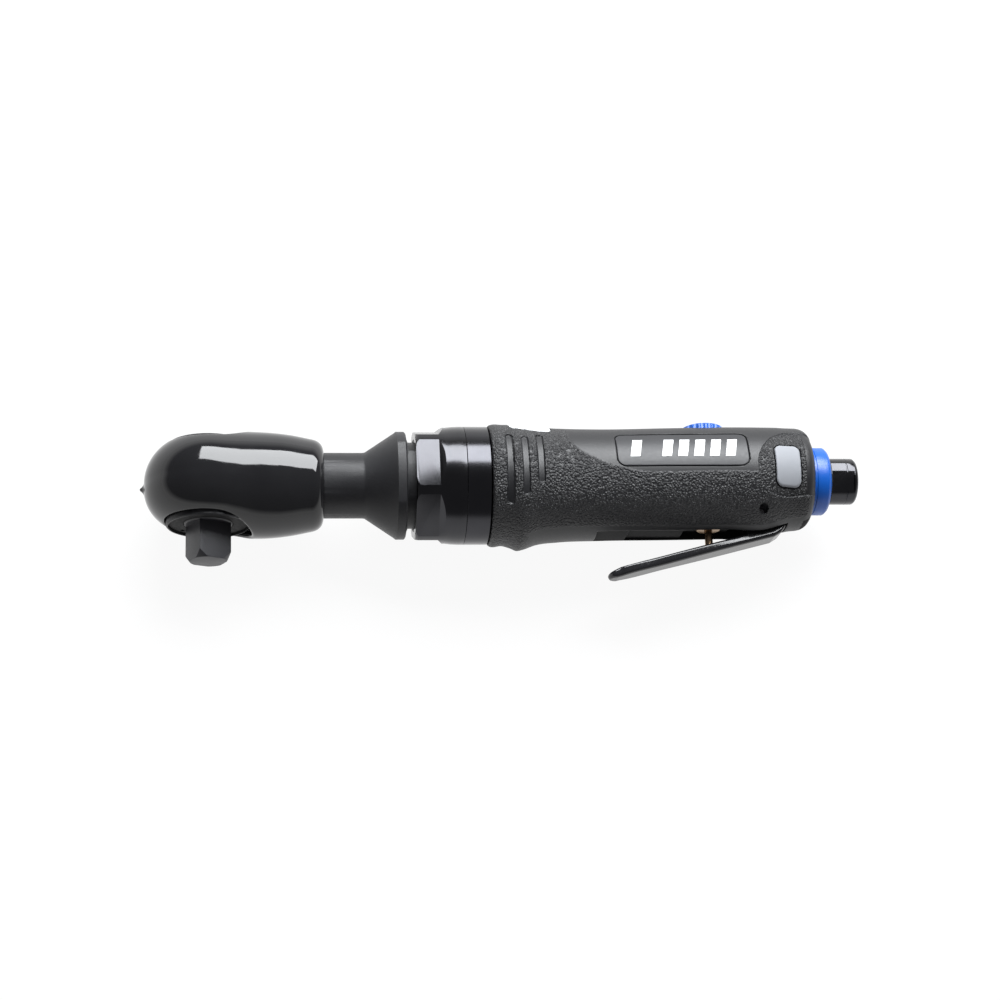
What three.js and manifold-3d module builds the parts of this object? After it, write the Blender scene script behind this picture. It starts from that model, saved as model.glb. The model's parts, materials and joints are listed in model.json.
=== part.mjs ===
// Air ratchet wrench with a half-inch square drive, lying on its side.
//
// Lengths are in millimetres. +X runs from the ratchet head to the air inlet, the square drive
// points to -Y, the regulator dial faces +Y, and +Z is up. The origin is the centre of the square
// drive's end face. Everything below is drawn about the motor axis, which is AXIS_Y above the
// origin, and the exported group carries that offset.

import * as THREE from 'three'
import { mergeVertices } from 'three/addons/utils/BufferGeometryUtils.js'
import Module from 'manifold-3d'

const wasm = await Module()
wasm.setup()

// ---- driving dimensions ---------------------------------------------------------------------

const GAP = 0.3 // between neighbours that rest on each other
const RUN = 0.15 // radial running clearance
const AXIS_Y = 29.7 // motor axis above the drive's end face

const DRIVE = 12.7 // half-inch square drive
const DRIVE_TURN = 26 // degrees about Y from +Z to the normal of the drive's first side
const HEAD_R = 24.1 // rubber boot, seen along the drive
const HEAD_LOWER = [1.8, 14.5] // boot's rounding on the drive's side: its start and radius
const HEAD_UPPER = [0.35, 18] // the same on the reversing knob's side
const BOOT_WALL = 1.6
const OPENING_R = 16.1 // round openings of the boot, above and below
const FACE_Y = 16.1 // steel head's face on the drive's side
const UPPER_FACE_Y = 15.6 // and on the knob's side
const SLOT_HALF = 6.75 // half the height of the slot that the yoke swings in
const NECK_R = 12.45
const BOOT_END_X = 43.2
const FLANGE_R = 20.5
const FLANGE_X = 73.8 // rear face of the ratchet housing's flange
const SPIGOT_R = 16.9
const SPIGOT_END_X = 84

const NUT_X = 77.1
const NUT_END_X = 95.9
const NUT_AF = 39.9 // across the flats of the clamp nut
const NUT_R = 22.5
const NUT_FLAT_END_X = 85.8 // each flat ends here and runs out at 45 degrees
const NUT_BORE_R = 19.15
const NUT_TURN = 8.5 // degrees from +Z to the normal of the nut's first flat

const BORE_R = 17.4 // motor housing bore
const MOTOR_R = 17.2 // ring gear, end plates and cylinder
const SLEEVE_R = 18.9 // motor housing inside the grip
const GRIP_X = 105.3
const GRIP_END_X = 230
const INLET_Y = 1.75 // inlet axis above the motor axis
const INLET_R = 8.97
const INLET_END_X = 248.5
const INLET_BORE_R = 5.7

const YOKE_TEETH = 48
const CRANK_THROW = 1.8
const CRANK_PIN_R = 2.2
const BUSHING_R = 3.4
const PAWL_TILT = 6 // degrees each way
const KNOB_TURN = 25 // degrees each way from the middle

const MODULE = 0.7 // planetary gears
const PRESSURE_ANGLE = THREE.MathUtils.degToRad(25)
const SUN_TEETH = 9
const PLANET_TEETH = 15
const RING_TEETH = 39
const PLANETS = 3
const GEAR_X = 85
const GEAR_END_X = 93

const CYLINDER_X = 101.2
const CYLINDER_END_X = 149
const ROTOR_R = 12.6
const ROTOR_OFFSET = 1.4 // cylinder bore above the rotor axis
const VANES = 5
const SHAFT_R = 4

const VALVE_X = 190
const PIVOT = { x: 208.6, y: -13.9 } // lever pin
const LEVER_SLOPE = 14.2 // degrees, at rest
const LEVER_DROP = 9.1 // pivot to the lever's outer face
const LEVER_SHEET = 1.5
const LEVER_FLANGE = 3.5 // outer face to the flange's edge
const LEVER_HALF = 5.8
const CHANNEL_HALF = 6.3 // half the width of the grip's lever channel

// ---- geometry helpers -----------------------------------------------------------------------

const DEG = Math.PI / 180

// (x, y, z) takes its values from (y, z, x): an extrusion or a lathe turned onto the next axis.
const CYCLE = new THREE.Matrix4().set(0, 1, 0, 0, 0, 0, 1, 0, 1, 0, 0, 0, 0, 0, 0, 1)

function signedVolume (position, index) {
  const a = new THREE.Vector3()
  const b = new THREE.Vector3()
  const c = new THREE.Vector3()
  let six = 0
  for (let i = 0; i < index.length; i += 3) {
    a.fromBufferAttribute(position, index[i])
    b.fromBufferAttribute(position, index[i + 1])
    c.fromBufferAttribute(position, index[i + 2])
    six += a.dot(b.cross(c))
  }
  return six / 6
}

// A closed three.js geometry as a manifold solid, faces turned outwards.
function solid (geometry) {
  const bare = geometry.clone()
  bare.deleteAttribute('normal')
  bare.deleteAttribute('uv')
  const merged = mergeVertices(bare, 1e-4)
  const all = merged.index.array
  const kept = []
  for (let i = 0; i < all.length; i += 3) {
    const [a, b, c] = [all[i], all[i + 1], all[i + 2]]
    if (a !== b && b !== c && a !== c) {
      kept.push(a, b, c)
    }
  }
  if (signedVolume(merged.attributes.position, kept) < 0) {
    kept.reverse()
  }
  return new wasm.Manifold(new wasm.Mesh({
    numProp: 3,
    vertProperties: new Float32Array(merged.attributes.position.array),
    triVerts: new Uint32Array(kept)
  }))
}

function geometryOf (body) {
  const mesh = body.getMesh()
  const geometry = new THREE.BufferGeometry()
  geometry.setAttribute('position', new THREE.BufferAttribute(mesh.vertProperties, 3))
  geometry.setIndex(new THREE.BufferAttribute(mesh.triVerts, 1))
  geometry.computeVertexNormals()
  return geometry
}

// Profiles are [along, radius] pairs. One that leaves the axis open closes on itself.
function revolved (profile, segments, turns) {
  const points = profile.map(([along, radius]) => new THREE.Vector2(radius, along))
  if (points[0].x > 0) {
    points.push(points[0].clone())
  }
  const geometry = new THREE.LatheGeometry(points, segments)
  for (let i = 0; i < turns; i++) {
    geometry.applyMatrix4(CYCLE)
  }
  return geometry
}

const latheX = (profile, segments = 20) => solid(revolved(profile, segments, 1))
const latheY = (profile, segments = 20) => solid(revolved(profile, segments, 0))

function discX (radius, x0, x1, y = 0, z = 0, segments = 20) {
  const geometry = revolved([[x0, 0], [x0, radius], [x1, radius], [x1, 0]], segments, 1)
  return solid(geometry.translate(0, y, z))
}

function discY (radius, y0, y1, x = 0, z = 0, segments = 20) {
  const geometry = revolved([[y0, 0], [y0, radius], [y1, radius], [y1, 0]], segments, 0)
  return solid(geometry.translate(x, 0, z))
}

function discZ (radius, z0, z1, x, y, segments = 12) {
  const geometry = revolved([[z0, 0], [z0, radius], [z1, radius], [z1, 0]], segments, 2)
  return solid(geometry.translate(x, y, 0))
}

function ringX (inner, outer, x0, x1, segments = 20) {
  return latheX([[x0, inner], [x0, outer], [x1, outer], [x1, inner]], segments)
}

function ringY (inner, outer, y0, y1, segments = 20) {
  return latheY([[y0, inner], [y0, outer], [y1, outer], [y1, inner]], segments)
}

function box (x0, x1, y0, y1, z0, z1) {
  const geometry = new THREE.BoxGeometry(x1 - x0, y1 - y0, z1 - z0)
  return solid(geometry.translate((x0 + x1) / 2, (y0 + y1) / 2, (z0 + z1) / 2))
}

function extruded (shape, length, curveSegments = 6) {
  return new THREE.ExtrudeGeometry(shape, { depth: length, bevelEnabled: false, curveSegments })
}

// The shape's axes are y and z, its angles run from +Y towards +Z.
function extrudeX (shape, x0, x1) {
  const geometry = extruded(shape, x1 - x0).applyMatrix4(CYCLE).applyMatrix4(CYCLE)
  return solid(geometry.translate(x0, 0, 0))
}

// The shape's axes are z and x, its angles run from +Z towards +X.
function extrudeY (shape, y0, y1) {
  return solid(extruded(shape, y1 - y0).applyMatrix4(CYCLE).translate(0, y0, 0))
}

function shapeOf (points) {
  return new THREE.Shape(points.map(([u, v]) => new THREE.Vector2(u, v)))
}

function roundedRectangle (width, height, radius) {
  const [w, h] = [width / 2, height / 2]
  const shape = new THREE.Shape()
  shape.moveTo(-w + radius, -h)
  shape.lineTo(w - radius, -h)
  shape.absarc(w - radius, -h + radius, radius, -Math.PI / 2, 0)
  shape.lineTo(w, h - radius)
  shape.absarc(w - radius, h - radius, radius, 0, Math.PI / 2)
  shape.lineTo(-w + radius, h)
  shape.absarc(-w + radius, h - radius, radius, Math.PI / 2, Math.PI)
  shape.lineTo(-w, -h + radius)
  shape.absarc(-w + radius, -h + radius, radius, Math.PI, Math.PI * 1.5)
  return shape
}

function arcPoints (radius, from, to, steps) {
  const points = []
  for (let i = 0; i <= steps; i++) {
    const angle = from + (to - from) * i / steps
    points.push([radius * Math.cos(angle), radius * Math.sin(angle)])
  }
  return points
}

// A closed tube of round wire through a list of points.
function wire (points, radius, steps) {
  const path = new THREE.CatmullRomCurve3(points)
  const section = shapeOf(arcPoints(radius, 0, 2 * Math.PI * 5 / 6, 5))
  return solid(new THREE.ExtrudeGeometry(section, { steps, bevelEnabled: false, extrudePath: path }))
}

// A compression spring along X from x0 to x1.
function springX (radius, wireRadius, x0, x1, turns) {
  const points = []
  const perTurn = 6
  for (let i = 0; i <= turns * perTurn; i++) {
    const angle = i * 2 * Math.PI / perTurn
    const along = wireRadius + (x1 - x0 - 2 * wireRadius) * i / (turns * perTurn)
    points.push(new THREE.Vector3(x0 + along, radius * Math.cos(angle), radius * Math.sin(angle)))
  }
  return wire(points, wireRadius, turns * perTurn)
}

function interpolate (stations, x) {
  let i = 1
  while (i < stations.length - 1 && stations[i][0] < x) {
    i++
  }
  const [before, after] = [stations[i - 1], stations[i]]
  const share = THREE.MathUtils.clamp((x - before[0]) / (after[0] - before[0]), 0, 1)
  return before.map((value, k) => value + (after[k] - value) * share)
}

// A solid of round sections along X. Each station gives [x, top, bottom].
function loft (stations, inset, segments) {
  const position = []
  const index = []
  stations.forEach(([x, top, bottom]) => {
    const radius = (top - bottom) / 2 - inset
    for (let k = 0; k < segments; k++) {
      const angle = 2 * Math.PI * k / segments
      position.push(x, (top + bottom) / 2 + radius * Math.cos(angle), radius * Math.sin(angle))
    }
  })
  const ends = [stations[0], stations[stations.length - 1]]
  ends.forEach(([x, top, bottom]) => position.push(x, (top + bottom) / 2, 0))
  const first = stations.length * segments
  for (let k = 0; k < segments; k++) {
    const next = (k + 1) % segments
    for (let row = 0; row < stations.length - 1; row++) {
      const [a, b] = [row * segments + k, row * segments + next]
      index.push(a, b, a + segments, b, b + segments, a + segments)
    }
    const last = first - segments
    index.push(first, next, k, first + 1, last + k, last + next)
  }
  const geometry = new THREE.BufferGeometry()
  geometry.setAttribute('position', new THREE.Float32BufferAttribute(position, 3))
  geometry.setIndex(index)
  return solid(geometry)
}

const join = (...bodies) => bodies.reduce((sum, body) => sum.add(body))
const cut = (body, ...tools) => tools.reduce((rest, tool) => rest.subtract(tool), body)
const turnedX = (body, degrees) => body.rotate([degrees, 0, 0])
const turnedY = (body, degrees) => body.rotate([0, degrees, 0])

// ---- ratchet head ---------------------------------------------------------------------------

const HEAD_SIDES = 24

// The head's round box about Y with rounded rims, a wall's thickness inside the boot.
function puck (inset) {
  const steps = 6
  const rim = ([start, radius]) => {
    return arcPoints(radius - inset, 0, Math.PI / 2, steps)
      .map(([across, along]) => [start + along, HEAD_R - radius + across])
  }
  const lower = rim(HEAD_LOWER).map(([y, r]) => [-y, r]).reverse()
  const upper = rim(HEAD_UPPER)
  return latheY([[lower[0][0], 0], ...lower, ...upper, [upper[steps][0], 0]], HEAD_SIDES)
}

// The head's barrel about X, from inside the puck back to the neck.
function barrel (inset) {
  const outline = [[4, 15], [11.8, 18.6], [20.8, 20.1], [28, 19.6], [38.8, 17.5], [41.6, 16.5],
    [BOOT_END_X, 14.3]]
  const end = BOOT_END_X - inset
  const profile = outline.map(([x, r]) => [Math.min(x, end - (BOOT_END_X - x) * 0.5), r - inset])
  return latheX([[4, 0], ...profile, [end, 0]], HEAD_SIDES)
}

function opening (radius, from) {
  const sides = HEAD_SIDES
  return join(discY(radius, from, 30, 0, 0, sides), discY(radius, -30, -from, 0, 0, sides))
}

function headBoot () {
  const nose = latheX([[-25.7, 0], [-25.3, 0.8], [-24.4, 1.6], [-22.5, 2.6], [-22.5, 0]], 12)
  const outside = join(puck(0), barrel(0), nose.translate([0, -1.7, 0]))
  const rim = cut(barrel(BOOT_WALL), opening(OPENING_R + BOOT_WALL, 14.5))
  const inside = join(puck(BOOT_WALL), rim)
  return cut(outside, inside, opening(OPENING_R, 0), discX(NECK_R + GAP, 20, 50))
}

const KNOB_R = 12.4
const JOURNAL_R = 12
const UPPER_JOURNAL_R = 9.5
const PLATE_R = 14.8

function ratchetHousing () {
  const wall = BOOT_WALL + GAP
  const shoulder = cut(barrel(wall), opening(OPENING_R + wall + GAP, 14.2))
  const neck = latheX([[20, 0], [20, NECK_R], [58.3, NECK_R], [69.8, 20.1], [70.2, FLANGE_R],
    [FLANGE_X - 0.4, FLANGE_R], [FLANGE_X, 20.1], [FLANGE_X, SPIGOT_R], [80.3, SPIGOT_R],
    [80.3, 15.4], [82.7, 15.4], [82.7, SPIGOT_R], [SPIGOT_END_X, SPIGOT_R], [SPIGOT_END_X, 0]], HEAD_SIDES)
  const outside = join(puck(wall), shoulder, neck,
    discY(OPENING_R - GAP, -FACE_Y, UPPER_FACE_Y, 0, 0, HEAD_SIDES))
  const shaftBore = latheX([[25, 0], [25, 9.7], [65.9, 9.7], [65.9, 14.2], [90, 14.2], [90, 0]])
  return cut(outside,
    box(-30, 19, -SLOT_HALF, SLOT_HALF, -30, 30),
    box(18, 31.5, -SLOT_HALF, SLOT_HALF, -12.4, 12.4),
    discY(JOURNAL_R + RUN, -20, 0),
    discY(PLATE_R + RUN, -20, -13.8),
    discY(UPPER_JOURNAL_R + RUN, 0, 20),
    discY(KNOB_R + 2 * RUN + 0.1, 11, 20),
    shaftBore)
}

const square = roundedRectangle(DRIVE, DRIVE, 0.3)

// Pocket for the pawl, with a narrow way through to the reversing plunger.
function pawlPocket () {
  return join(box(-12, -5.4, -5, 5, -8.6, 8.6), box(-6, -1, -1.7, 1.7, -3.4, 3.4))
}

const PAWL_X = -8
const PAWL_PIN_R = 1.3
const DETENT_R = 1.9
const DETENT_Y = -23.2
const DETENT_TURN = DRIVE_TURN + 180 // the hole is in the third side of the drive
const STEM_BORE_R = 3.6 // reversing knob's stem, in the anvil

function anvil () {
  const body = latheY([[-15.6, 0], [-15.6, 9.1], [-12.9, 9.1], [-12.9, JOURNAL_R], [-6.7, JOURNAL_R],
    [-6.6, 10.9], [6.6, 10.9], [6.7, UPPER_JOURNAL_R], [10.9, UPPER_JOURNAL_R], [10.9, 0]])
  const tip = latheY([[-AXIS_Y, 0], [-AXIS_Y, 6.9], [-AXIS_Y + 2.1, 9], [-15, 9], [-15, 0]])
  const drive = turnedY(extrudeY(square, -AXIS_Y, -15), DRIVE_TURN).intersect(tip)
  const detent = turnedY(discZ(DETENT_R + RUN, 1, 7, 0, DETENT_Y, 10), DETENT_TURN)
  const stemBore = discY(STEM_BORE_R + RUN, -3, 12, 0, 0, 12)
  const pinBore = discY(PAWL_PIN_R + RUN, -6, 6.8, PAWL_X, 0, 8)
  return cut(join(body, drive), pawlPocket(), detent, stemBore, pinBore)
}

// Sits in a side of the drive, just proud of it.
function detentBall () {
  const ball = new THREE.SphereGeometry(1.7, 10, 6)
  return turnedY(solid(ball.translate(0, DETENT_Y, 5.1)), DETENT_TURN)
}

function detentSpring () {
  const spring = springX(1.1, 0.25, 1.3, 3.2, 3).rotate([0, -90, 0]).translate([0, DETENT_Y, 0])
  return turnedY(spring, DETENT_TURN)
}

function pawl () {
  const reach = 39 * DEG // of the toothed rim, each way
  const middle = 1.5 * Math.PI
  const rim = arcPoints(10.8, middle - reach, middle + reach, 8)
  const inner = -6.1
  const outline = shapeOf([...rim, [rim[8][0] - 0.6, inner - 0.8], [3, inner], [-3, inner],
    [rim[0][0] + 0.6, inner - 0.8]])
  const body = cut(extrudeY(outline, -4.8, 4.8), discY(PAWL_PIN_R + RUN, -6, 6, PAWL_X, 0, 8))
  return turnedY(body.translate([-PAWL_X, 0, 0]), PAWL_TILT).translate([PAWL_X, 0, 0])
}

const pawlPin = () => discY(PAWL_PIN_R, -5.9, 6.6, PAWL_X, 0, 8)

// Knob, stem and thumb bar are one piece. The radial hole holds the plunger and its spring.
function reverseKnob () {
  const bar = join(box(-11.2, 11.2, 16.5, 18.3, -2, 2), discY(STEM_BORE_R, -2.7, 11.5, 0, 0, 12))
  const knob = latheY([[11.3, 0], [11.3, KNOB_R], [16.1, KNOB_R], [16.7, KNOB_R - 0.6],
    [16.7, 0]])
  const hole = discX(1.45, -4, 1.6, 0, 0, 10)
  return turnedY(cut(join(knob, bar), hole), -KNOB_TURN)
}

function reversePlunger () {
  const profile = [[-5.4, 0], [-5.2, 0.7], [-4.8, 1.1], [-4.2, 1.3], [-1.6, 1.3], [-1.6, 0]]
  return turnedY(latheX(profile, 10), -KNOB_TURN)
}

const plungerSpring = () => turnedY(springX(1, 0.22, -1.5, 1.5, 4), -KNOB_TURN)

// Ring with ratchet teeth inside and a forked tail that takes the crank's bushing.
function ratchetYoke () {
  const half = 6.3
  const slot = BUSHING_R + 2 * CRANK_THROW + 0.15
  const teeth = []
  for (let i = 0; i < YOKE_TEETH; i++) {
    const middle = 2 * Math.PI * i / YOKE_TEETH
    const pitch = 2 * Math.PI / YOKE_TEETH
    teeth.push(...arcPoints(12.5, middle - 0.12 * pitch, middle + 0.12 * pitch, 1))
    teeth.push(...arcPoints(11.6, middle + 0.4 * pitch, middle + 0.6 * pitch, 1))
  }
  const fork = slot + 2.4
  const tail = join(box(10, 30, -half, half, -fork, fork))
  const body = join(discY(16.8, -half, half, 0, 0, 24), tail)
  return cut(body, box(18.4, 31, -8, 8, -slot, slot), extrudeY(shapeOf(teeth), -8, 8))
}

const retainingPlate = () => ringY(9.35, PLATE_R, -15.1, -13.9)
const thrustWasher = () => ringY(9.35, 11.8, -13.8, -13)

// ---- crankshaft and planetary gear ----------------------------------------------------------

const CARRIER_X = 79
const PIN_R = 1.9
const CENTRE_DISTANCE = MODULE * (SUN_TEETH + PLANET_TEETH) / 2
const planetAngle = (i) => 2 * Math.PI * i / PLANETS

function aroundX (radius, angle) {
  return [0, radius * Math.cos(angle), radius * Math.sin(angle)]
}

function crankshaft () {
  const shaft = latheX([[32, 0], [32, 7.2], [32.6, 7.5], [65.6, 7.5], [65.6, 9], [72.9, 9],
    [72.9, 9.6], [CARRIER_X, 9.6], [CARRIER_X, 13.6], [83.6, 13.6], [83.6, 0]])
  const web = discX(7.2, 31.9, 33, 0, 0)
  const pin = discX(CRANK_PIN_R, 22.4, 33, CRANK_THROW, 0, 12)
  const holes = [0, 1, 2].map((i) => {
    return discX(PIN_R + 0.02, CARRIER_X + 1, 90, 0, 0, 10)
      .translate(aroundX(CENTRE_DISTANCE, planetAngle(i)))
  })
  return cut(join(shaft, web, pin), ...holes)
}

function driveBushing () {
  const r = BUSHING_R
  const profile = [[22.8, CRANK_PIN_R + RUN], [22.8, r - 0.5], [24, r], [29, r], [30.2, r - 0.5],
    [30.2, CRANK_PIN_R + RUN]]
  return latheX(profile, 12).translate([0, CRANK_THROW, 0])
}

function planetPin (i) {
  return discX(PIN_R, CARRIER_X + 1.1, GEAR_END_X + 0.6, 0, 0, 10)
    .translate(aroundX(CENTRE_DISTANCE, planetAngle(i)))
}

const involute = (angle) => Math.tan(angle) - angle

// Involute outline. Addendum and dedendum are in modules; backlash thins each tooth by that arc.
function gearShape (teeth, addendum, dedendum, backlash, phase) {
  const pitchR = MODULE * teeth / 2
  const baseR = pitchR * Math.cos(PRESSURE_ANGLE)
  const tipR = pitchR + addendum * MODULE
  const rootR = pitchR - dedendum * MODULE
  const halfPitch = (Math.PI * MODULE / 2 - backlash) / 2 / pitchR
  const halfAngle = (r) => {
    const at = r > baseR ? involute(Math.acos(baseR / r)) : 0
    return halfPitch + involute(PRESSURE_ANGLE) - at
  }
  const flank = [rootR, pitchR, tipR]
  const points = []
  for (let i = 0; i < teeth; i++) {
    const middle = phase + 2 * Math.PI * i / teeth
    flank.forEach((r) => {
      points.push([r * Math.cos(middle - halfAngle(r)), r * Math.sin(middle - halfAngle(r))])
    })
    flank.toReversed().forEach((r) => {
      points.push([r * Math.cos(middle + halfAngle(r)), r * Math.sin(middle + halfAngle(r))])
    })
  }
  return shapeOf(points)
}

const BACKLASH = 0.12
const ADDENDUM = 0.8
const DEDENDUM = 1.05

// Turn of planet i that puts its tooth spaces on the sun's teeth.
function planetPhase (i) {
  const angle = planetAngle(i)
  const step = (angle * SUN_TEETH / 2 + Math.PI / 2) / (PLANET_TEETH / 2)
  return angle + Math.PI + step
}

function planetGear (i) {
  const shape = gearShape(PLANET_TEETH, ADDENDUM, DEDENDUM, BACKLASH, planetPhase(i))
  const gear = extrudeX(shape, GEAR_X, GEAR_END_X)
  return cut(gear, discX(PIN_R + RUN, 80, 100, 0, 0, 10))
    .translate(aroundX(CENTRE_DISTANCE, planetAngle(i)))
}

function ringGear () {
  const phase = planetPhase(0) * PLANET_TEETH / RING_TEETH
  const space = gearShape(RING_TEETH, DEDENDUM, ADDENDUM, -BACKLASH, phase)
  return cut(discX(MOTOR_R, 84.4, 94.8), extrudeX(space, 80, 100))
}

// ---- clamp nut and motor housing ------------------------------------------------------------

// Split ring in the ratchet housing's groove; the clamp nut's lip pulls on it.
function nutRetainingRing () {
  return cut(ringX(15.7, 18.8, 80.55, 82.45), box(80, 83, 0, 20, -2, 2))
}

// A round nut with six milled flats.
function clampNut () {
  const body = latheX([[NUT_X, 0], [NUT_X, 20.9], [NUT_X + 1.2, 22.1], [88.9, 22.1], [93.5, NUT_R],
    [NUT_END_X, NUT_R], [NUT_END_X, 0]], 24)
  const [flat, runOut] = [NUT_AF / 2, 6]
  const side = shapeOf([[NUT_X - 1, flat], [NUT_FLAT_END_X, flat],
    [NUT_FLAT_END_X + runOut, flat + runOut], [NUT_X - 1, flat + runOut]])
  const mill = solid(extruded(side, 60).translate(0, 0, -30))
  const flats = [0, 1, 2, 3, 4, 5].map((i) => turnedX(mill, 90 - NUT_TURN + 60 * i))
  const bore = latheX([[70, 0], [70, 17.2], [80.15, 17.2], [80.15, NUT_BORE_R], [100, NUT_BORE_R],
    [100, 0]], 24)
  return cut(body, ...flats, bore)
}

const THREAD_R = 18.8 // under the clamp nut
const BLOCK_X = 157 // solid valve block behind the motor's bore
const BLOCK_END_X = 222
const BLOCK_R = 17.6
const BLOCK_FLAT = -10.5 // underside of the valve block, over the lever
const VALVE_SLEEVE_R = 5
const REGULATOR_R = 6.2
const AIRWAY_R = 4.2
const SCREW_R = 8

function motorHousing () {
  const sleeve = latheX([[84.3, 0], [84.3, 18.4], [84.7, THREAD_R], [NUT_END_X + GAP, THREAD_R],
    [NUT_END_X + GAP, NUT_R], [GRIP_X - GAP, NUT_R], [GRIP_X - GAP, SLEEVE_R],
    [BLOCK_X, SLEEVE_R], [BLOCK_X, 0]], 24)
  const block = discX(BLOCK_R, BLOCK_X - 1, BLOCK_END_X, INLET_Y)
  const flat = box(BLOCK_X, 230, -30, BLOCK_FLAT, -30, 30)
  const exhausts = [-1, 1].map((side) => discX(2.4, 150, 230, -4, side * 12.4, 8))
  return cut(join(sleeve, block), flat,
    discX(BORE_R, 80, 155),
    discY(VALVE_SLEEVE_R + 0.05, -20, 4.4, VALVE_X),
    discY(REGULATOR_R + 0.05, 4.3, 30, VALVE_X),
    discX(AIRWAY_R, 188, 210, INLET_Y, 0, 16),
    discX(2.6, 150, 190, 9, 0, 8),
    discX(SCREW_R + 0.1, 205, 230, INLET_Y),
    discY(DIAL_R + 0.5, DIAL_Y - 0.3, 40, VALVE_X),
    ...exhausts)
}

// ---- vane motor -----------------------------------------------------------------------------

const DOWEL_Y = -15
const DOWEL_R = 1.1
const dowelHole = () => discX(DOWEL_R + 0.05, 90, 160, DOWEL_Y, 0, 8)

function endPlate (x0, x1) {
  return cut(ringX(8.15, MOTOR_R, x0, x1), dowelHole())
}

function cylinder () {
  const body = discX(MOTOR_R, CYLINDER_X, CYLINDER_END_X)
  const bore = discX(ROTOR_R + ROTOR_OFFSET + 0.25, 90, 160, ROTOR_OFFSET, 0, 36)
  const ports = [108, 117, 126, 135].map((x) => discZ(1.6, 5, 20, x, -6, 6))
  return cut(body, bore, dowelHole(), ...ports)
}

const VANE_THICK = 1.5
const VANE_FOOT = 7.2

function rotor () {
  const body = latheX([[CYLINDER_X + 0.3, 0], [CYLINDER_X + 0.3, ROTOR_R],
    [CYLINDER_END_X - 0.3, ROTOR_R], [CYLINDER_END_X - 0.3, 0]], 40)
  const shaft = discX(SHAFT_R, GEAR_END_X + 0.6, 154.3)
  const pinion = extrudeX(gearShape(SUN_TEETH, ADDENDUM, DEDENDUM, BACKLASH, 0), GEAR_X, 94)
  const slots = []
  for (let i = 0; i < VANES; i++) {
    const half = VANE_THICK / 2 + 0.1
    slots.push(turnedX(box(90, 160, VANE_FOOT - 0.1, 20, -half, half), 360 * i / VANES))
  }
  return join(cut(body, ...slots), shaft, pinion)
}

// Vanes sit fully home in their slots, so that the rotor turns clear of the cylinder.
function vane (i) {
  const half = VANE_THICK / 2
  const plate = box(CYLINDER_X + 0.4, CYLINDER_END_X - 0.4, VANE_FOOT, ROTOR_R - 0.1, -half, half)
  return turnedX(plate, 360 * i / VANES)
}

// Both races and their rolling elements as one ring, dished in front between the races.
function bearing (inner, outer, x0, x1) {
  const groove = (inner + outer) / 2
  return latheX([[x0, inner], [x0 + 0.4, groove], [x0, outer], [x1, outer], [x1, inner]])
}

// ---- handle grip ----------------------------------------------------------------------------

// [x, top, bottom] of the grip's round sections: a finger stop below, a swell over the valve.
const GRIP = [[GRIP_X, 22.8, -22.8], [106, 23.3, -23.4], [111, 23.5, -23.2], [116.5, 22.9, -25],
  [119, 22.7, -24.5], [123.4, 22.3, -22.9], [133, 21.9, -21.7], [148, 21.7, -21.2],
  [176, 22.3, -20.9], [195, 22.7, -20.6], [212, 22.7, -20.4], [221, 22.6, -17.8],
  [226, 21.2, -17.2], [229, 18.8, -15], [GRIP_END_X, 16.8, -13]]

const GRIP_SIDES = 32

function gripBody (inset, from, to) {
  const inner = GRIP.filter(([x]) => x > from && x < to)
  return loft([interpolate(GRIP, from), ...inner, interpolate(GRIP, to)], inset, GRIP_SIDES)
}

// A rounded rectangle that stands out of the grip's side at an angle from +Z towards +Y.
function plug (x, width, height, radius, angle, grow) {
  const shape = roundedRectangle(width + 2 * grow, height + 2 * grow, radius + grow)
  const geometry = extruded(shape, 40, 3).translate(x, 0, 6)
  return turnedX(solid(geometry), -angle)
}

const PANEL = { x: 177.9, width: 50.2, height: 15.4, radius: 3, angle: 24.5 }
const BADGE = { x: 218.2, width: 10, height: 16.4, radius: 2.6, angle: 5.5 }
const LABEL = { x: 121, width: 15.6, height: 27, radius: 1.5, angle: 90 }

const plugOf = (p, grow) => plug(p.x, p.width, p.height, p.radius, p.angle, grow)

// A sheet that follows the grip's surface within an outline.
function patch (p, outer, inner) {
  const from = p.x - p.width / 2 - 2
  const to = Math.min(p.x + p.width / 2 + 2, GRIP_END_X)
  return cut(plugOf(p, 0).intersect(gripBody(outer, from, to)), gripBody(inner, from, to))
}

function pocket (p, depth) {
  return cut(plugOf(p, GAP), gripBody(depth, GRIP_X, GRIP_END_X))
}

const DIAL_R = 8.35
const DIAL_Y = 18.4

function gripSlot (x, from, to) {
  const steps = 3
  const arc = arcPoints(30, (90 - from) * DEG, (90 - to) * DEG, steps)
  const inner = arcPoints(12, (90 - to) * DEG, (90 - from) * DEG, 1)
  return extrudeX(shapeOf([...arc, ...inner]), x - 1.5, x + 1.5)
}

const FINGER_SLOTS = [[112.8, 39, -35], [118.2, 37.5, -24], [123.8, 42, -14.5]]

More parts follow.
